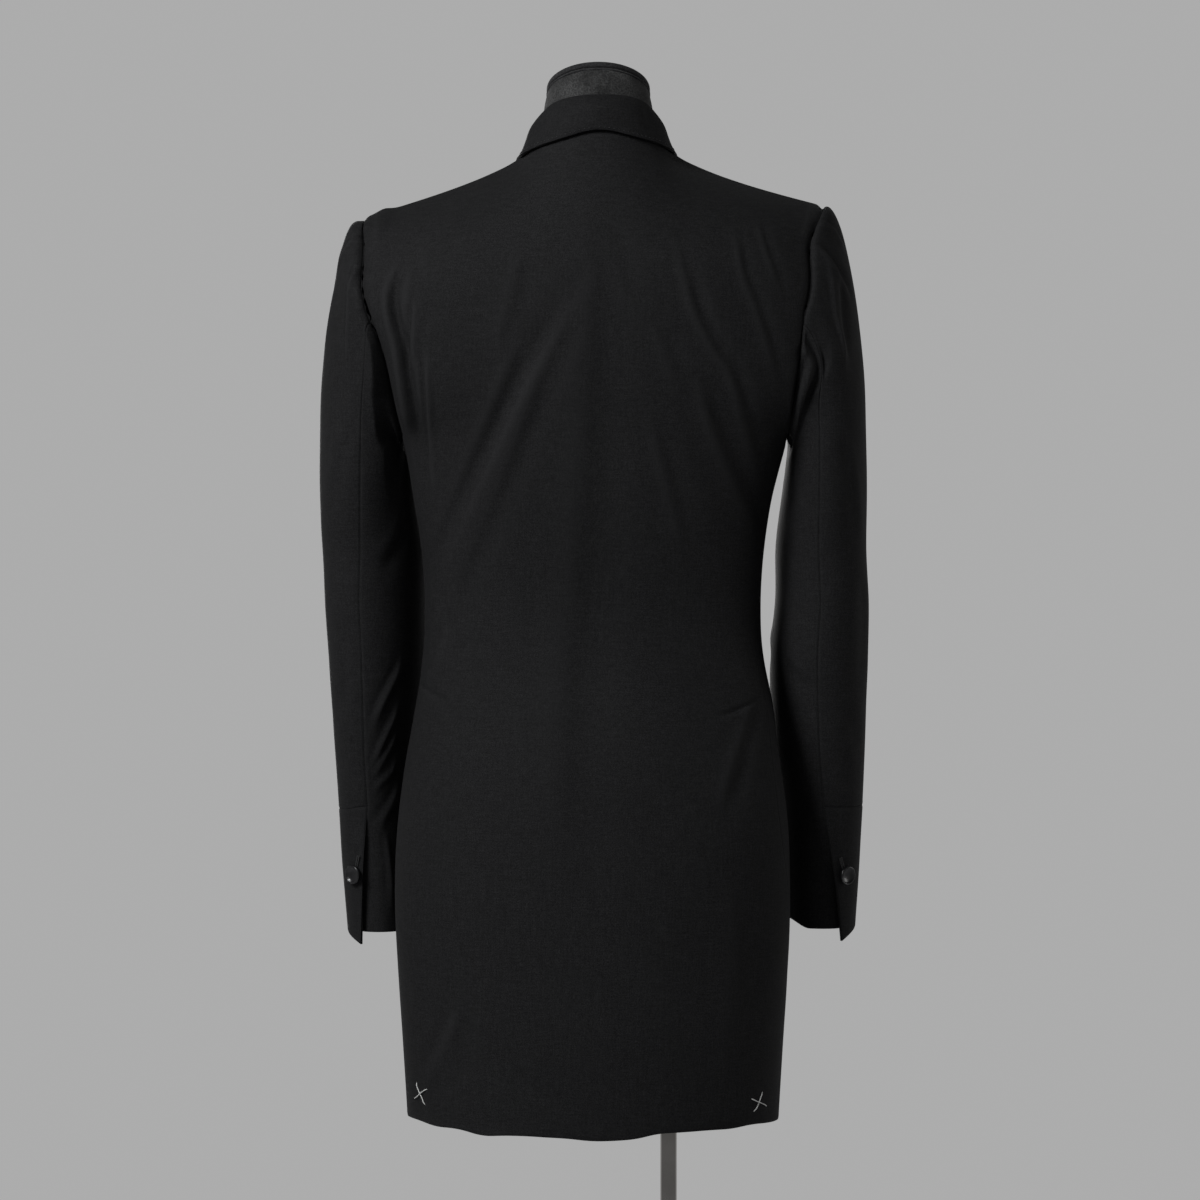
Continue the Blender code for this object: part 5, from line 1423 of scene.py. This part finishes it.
# %% Eased corners
def eased(outline, radius, steps=4):
    """The outline with each inner corner cut to a small round."""
    made = [outline[0]]
    for before, corner, after in zip(outline, outline[1:], outline[2:]):
        before, corner, after = (np.array(p, float) for p in (before, corner, after))
        first, second = before - corner, after - corner
        reach = min(radius, np.linalg.norm(first) / 2.2, np.linalg.norm(second) / 2.2)
        first, second = (corner + v / np.linalg.norm(v) * reach for v in (first, second))
        for k in range(steps + 1):
            t = k / steps
            made.append(tuple(first * (1 - t) ** 2 + corner * 2 * t * (1 - t) + second * t * t))
    return [*made, outline[-1]]


# %% [markdown]
# ## Buttons
#
# Each cuff closes with one button, and the front with another. A button is a shallow dish
# with a rounded rim and a low dome in the middle, sewn through from behind on a short
# thread shank. Its buttonhole is a slit bound with close stitches, which stand up as a
# corded line beside it.

# %% Buttons and their shanks
BUTTON_OUTLINE = (
    # share of the radius, share of the thickness, from the middle of the face to the back
    (0.001, 0.42), (0.16, 0.43), (0.32, 0.46), (0.46, 0.51), (0.58, 0.58), (0.68, 0.67),
    (0.76, 0.77), (0.81, 0.88), (0.85, 0.96), (0.89, 1.00), (0.94, 0.97), (0.98, 0.84),
    (1.0, 0.62), (0.985, 0.38), (0.93, 0.16), (0.84, 0.04), (0.60, 0.0), (0.001, 0.0),
)


# %% Where a button sits
def seat_of(node, outside):
    """Centre of a button's back, the way it faces, its radius and its thickness."""
    points = np.array([v.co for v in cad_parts[node].data.vertices])
    centre = (points.max(0) + points.min(0)) / 2
    away = points - points.mean(0)
    axis = np.linalg.eigh(away.T @ away)[1][:, 0]
    axis *= np.sign(axis @ np.array(outside))
    height = away @ axis
    middle = points.mean(0) - axis * (height.mean() - height.min())
    flat = points - middle - np.outer((points - middle) @ axis, axis)
    return middle, axis, np.linalg.norm(flat, axis=1).max(), np.ptp(height)


# %% The three buttons
button_at, OUT_TURN = {}, 0.24   # how far a cuff button hangs turned outwards
for node, outside in (("cuff_button_left", (1, 1, 0)), ("cuff_button_right", (-1, 1, 0)),
                      ("front_button", (0, -1, 0))):
    seat, axis, radius, thick = seat_of(node, outside)
    if outside[1] > 0:
        axis = unit(axis + (OUT_TURN * outside[0], 0.0, 0.0))
        seat = seat + axis * 0.0010
    outline = [(radius * r, thick * h) for r, h in BUTTON_OUTLINE]
    placed("polished_" + node, turned(node, outline, 64, seat, axis), polish,
           [node])
    shank = [seat + axis * d for d in (-0.0012, -0.0004, 0.0004)]
    placed("shank_" + node, cord_mesh("shank", [shank], 0.0018, 12), silk)
    button_at[node] = seat, axis, radius
    print(node, "radius", round(radius, 4), "faces", axis.round(2))


# %% Bound buttonholes
STITCH_PITCH, HOLE_HALF = 0.00052, 0.0011


def bound_hole(name, button, end, lean):
    """A corded slit from under the button to end metres beyond its centre, along lean."""
    seat, axis, radius = button_at[button]
    way = unit(lean - axis * (lean @ axis))
    across, start, paths = np.cross(axis, way), radius * 0.7, []
    count = int((end - start) / STITCH_PITCH)
    for k in range(count + 1):
        foot = seat + way * (start + (end - start) * k / count) - axis * 0.0012
        wide = 0.0011 if 0 < k < count else 0.0004
        # each stitch: how far out from the slit, and how far up
        stitch = ((HOLE_HALF - 0.0008, 0.0), (HOLE_HALF * 0.6, 0.0010), (HOLE_HALF, 0.0010),
                  (HOLE_HALF + wide * 0.5, -0.0002))
        for side in (-1, 1):
            paths.append([foot + across * side * out + axis * up for out, up in stitch])
    placed(name, cord_mesh(name, paths, 0.00030, 5), silk)


for name, button, end, lean in (("left", "cuff_button_left", 0.0175, (-0.45, -0.1, 0.9)),
                                ("right", "cuff_button_right", 0.0175, (0.55, -0.1, 0.85)),
                                ("front", "front_button", 0.0190, (-1.0, 0.0, 0.02))):
    bound_hole("buttonhole_" + name, button, end, np.array(lean))

# %% [markdown]
# ## Stitches that show
#
# Two white crosses of basting thread still hold the back's lower corners, as they leave
# the workshop. Fine pick stitches run along the edges of the collar and the lapels, each
# one a short float of black thread between two dimples.

# %% Basting crosses at the hem
def basted(name, strokes):
    """Crossed floats of white thread on the back: each runs between two (x, z) places."""
    paths = []
    for (x0, z0), (x1, z1), bow in strokes:
        path = []
        for t in np.linspace(0.0, 1.0, 13):
            lift = -0.0008 + 0.0016 * min(1.0, 7 * t, 7 * (1 - t)) + bow * math.sin(math.pi * t)
            x = x0 + (x1 - x0) * t + 0.0004 * math.sin(math.pi * 2.2 * t)
            start = Vector((x, 0.6, z0 + (z1 - z0) * t))
            hit, normal, _, _ = ground.ray_cast(start, Vector((0.0, -1.0, 0.0)))
            path.append(np.array(hit) + np.array(normal) * lift)
        paths.append(path)
    placed(name, cord_mesh(name, paths, 0.00042, 8), white)


basted("basting_left", (((0.1560, 0.6005), (0.1475, 0.5800), 0.0003),
                        ((0.1455, 0.5960), (0.1585, 0.5835), 0.0011)))
basted("basting_right", (((-0.1500, 0.5935), (-0.1410, 0.5755), 0.0003),
                         ((-0.1390, 0.5885), (-0.1540, 0.5785), 0.0011)))


# %% Pick stitches
PICK_PITCH, PICK_LENGTH = 0.0044, 0.0016


def picked(name, face, normals, lines):
    """Short black floats along parts of a face's rows and columns."""
    paths = []
    for part in lines:
        line, out = face[part], normals[part]
        far = np.concatenate([[0], np.cumsum(np.linalg.norm(np.diff(line, axis=0), axis=1))])
        for start in np.arange(PICK_PITCH, far[-1] - PICK_PITCH, PICK_PITCH):
            at = np.linspace(start, start + PICK_LENGTH, 5)
            middle = np.stack([np.interp(at, far, line[:, k]) for k in range(3)], -1)
            way = np.stack([np.interp(at, far, out[:, k]) for k in range(3)], -1)
            paths.append(middle + way * np.array((-2.0, 1.6, 2.2, 1.6, -2.0))[:, None] * 1e-4)
    placed(name, cord_mesh(name, paths, 0.00022, 5), silk)


picked("pick_stitches_collar", collar_face, collar_normals, [np.s_[-6, 6:-6]])
for name in ("lapel_left", "lapel_right"):
    picked("pick_stitches_" + name, faces[name], normals[name],
           [np.s_[4:-6, -6], np.s_[-6, 22:-6]])

# %% [markdown]
# ## The dress form
#
# The form is a padded torso under stretched charcoal cloth, with no arms or head. It shows
# at the neck, inside the lapels and under the hem. The neck block leans forwards a little
# and wears a flat cap, with a corded seam under the cap's edge.

# %% Torso
TORSO = (
    # height, half_width, back, front
    (0.786, 0.1500, 0.1000, -0.0980), (0.800, 0.1560, 0.1060, -0.1040),
    (0.850, 0.1570, 0.1060, -0.1050), (0.920, 0.1460, 0.0920, -0.1010),
    (1.010, 0.1350, 0.0730, -0.0940), (1.090, 0.1410, 0.0780, -0.0985),
    (1.170, 0.1540, 0.0900, -0.1075), (1.240, 0.1620, 0.0980, -0.1055),
    (1.300, 0.1700, 0.0970, -0.0950), (1.340, 0.1700, 0.0880, -0.0780),
    (1.362, 0.1580, 0.0780, -0.0650), (1.378, 0.1220, 0.0680, -0.0540),
    (1.392, 0.0890, 0.0610, -0.0470), (1.406, 0.0650, 0.0570, -0.0430),
    (1.418, 0.0530, 0.0550, -0.0415), (1.428, 0.0480, 0.0540, -0.0410),
)
TORSO_ROUND, FORM_SIDES = 2.17, 160

turns = np.arange(FORM_SIDES) * math.tau / FORM_SIDES
levels = []
for height, half_width, rear, front in TORSO:
    levels.append(leaned(np.stack([
        half_width * spow(np.sin(turns), 2 / TORSO_ROUND),
        (rear + front) / 2 + (rear - front) / 2 * spow(np.cos(turns), 2 / TORSO_ROUND),
        np.full(FORM_SIDES, height)], -1)))
levels = curved(np.array(levels), [4] * (len(TORSO) - 1))
seam_dip = np.exp(-(np.minimum(np.abs(np.sin(turns)), np.abs(np.cos(turns))) / 0.012) ** 2)
levels[1:-1] -= (levels[1:-1] - levels[1:-1].mean(1, keepdims=True)) * (
    0.006 * seam_dip[:, None] * np.array((1, 1, 0)))
placed("form_body", ringed("form_body", levels), cover, ["form_torso"])

# %% Neck block
NECK_RADII, NECK_TILT = np.array((0.0450, 0.0470, 0.0490, 0.0455)), 22.0
NECK_FOOT, NECK_HEAD = np.array((0.0060, 1.4300)), np.array((0.0, 1.4815))


def neck_ring(share, radius, lift=0.0):
    """A tilted ring of the neck, share of the way up it, lift metres above."""
    y, height = NECK_FOOT + (NECK_HEAD - NECK_FOOT) * share
    tilt, reach = math.radians(NECK_TILT * share), radius * np.cos(turns)
    return np.stack([NECK_SHIFT + radius * np.sin(turns), y + reach * math.cos(tilt),
                     height + lift + reach * math.sin(tilt)], -1)


radii = curved(NECK_RADII[:, None], [12] * 3)[:, 0]
shares = np.linspace(0.0, 1.0, len(radii))
block = np.array([neck_ring(share, radius) for share, radius in zip(shares, radii)])
round_neck, up_neck = np.broadcast_arrays(turns[None] * 0.06, shares[:, None] * 0.05)
pull = 0.0004 * uneven(round_neck, up_neck, 0.03, 31)
block[1:-1] += (block[1:-1] - block[1:-1].mean(1, keepdims=True)) * pull[1:-1, :, None] / 0.047
placed("form_neck_block", ringed("form_neck_block", block), cover, ["form_neck"])

# %% Cap and its corded seam
CAP_THICK, CAP_DOME, CAP_OVERHANG = 0.0050, 0.0040, 0.0010
crown = NECK_RADII[-1] + CAP_OVERHANG
cap_outline = eased([(crown - 0.0012, SEAM_GAP), (crown, 0.0010), (crown, CAP_THICK),
                     (crown * 0.8, CAP_THICK + CAP_DOME / 2),
                     (crown * 0.3, CAP_THICK + CAP_DOME), (crown * 0.02, CAP_THICK + CAP_DOME)],
                    0.006)
cap = [neck_ring(1.0, radius, lift) for radius, lift in cap_outline]
placed("form_neck_cap", ringed("form_neck_cap", cap), trim, ["form_cap"])
cord_line = neck_ring(0.985, NECK_RADII[-1] + 0.0004, -0.0006)
placed("form_cap_cord", cord_mesh("cord", [np.concatenate([cord_line, cord_line[:2]])], 0.0009, 8),
       trim)

# %% [markdown]
# ## The stand
#
# Under the torso a flange takes a plain chrome pole, a little to one side. The pole drops
# into a socket on a flat round plate of brushed steel. Every turned edge is eased, because
# a perfectly sharp edge catches no light.

# %% Flange, pole, socket and plate
POLE_X, POLE_RADIUS = -0.0680, 0.0075
STAND = (
    # piece, node, radius, easing, finish, slot, sides
    ("stand_flange", "pole_flange", 0.030, 0.0012, chrome, "chrome", 96),
    ("stand_pole", "pole", POLE_RADIUS, 0.0008, chrome, "chrome", 64),
    ("stand_socket", "pole_socket", 0.016, 0.0020, chrome, "chrome", 96),
    ("stand_plate", "base_plate", 0.190, 0.0022, steel, "plate_steel", 160),
)
for piece, node, radius, easing, metal, slot, sides in STAND:
    low, high = (corner.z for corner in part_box(node))
    corners = [(0.001, high), (radius, high), (radius, low), (0.001, low)]
    if node == "pole_socket":   # a fine groove near its top
        corners[2:2] = [(radius, high - 0.0052), (radius - 0.0008, high - 0.0060),
                        (radius, high - 0.0068)]
    seat = (0.0 if node == "base_plate" else POLE_X, 0.0, 0.0)
    placed(piece, turned(piece, eased(corners, easing), sides, seat), metal, [node])
    print(node, "from", round(low, 4), "to", round(high, 4))

# %% [markdown]
# ## Floor
#
# A plain pale floor carries the plate's soft shadow. It is staging, not part of the piece.

# %% Floor
floor_finish, floor_shader = finish("floor", 0.7)
drifting(floor_finish, floor_shader, 3.0, (0.40, 0.40, 0.41), (0.43, 0.43, 0.44))
floor_mesh = turned("floor", [(2.15, -0.0001), (2.2, -0.004), (0.01, -0.006)], 96)
floor = bpy.data.objects.new("floor", floor_mesh)
floor_mesh.materials.append(floor_finish)
scene.collection.objects.link(floor)
print("floor:", len(floor_mesh.polygons), "faces")

# %% [markdown]
# ## What each panel was cut to
#
# Every sewn piece is declared as a sheet, with the width and length of the cloth it takes
# and the area of its own cut. The numbers come from walking across and down its net.

# %% Cut sizes
for name, piece in cloth.items():
    side = name.rsplit("_", 1)[-1]
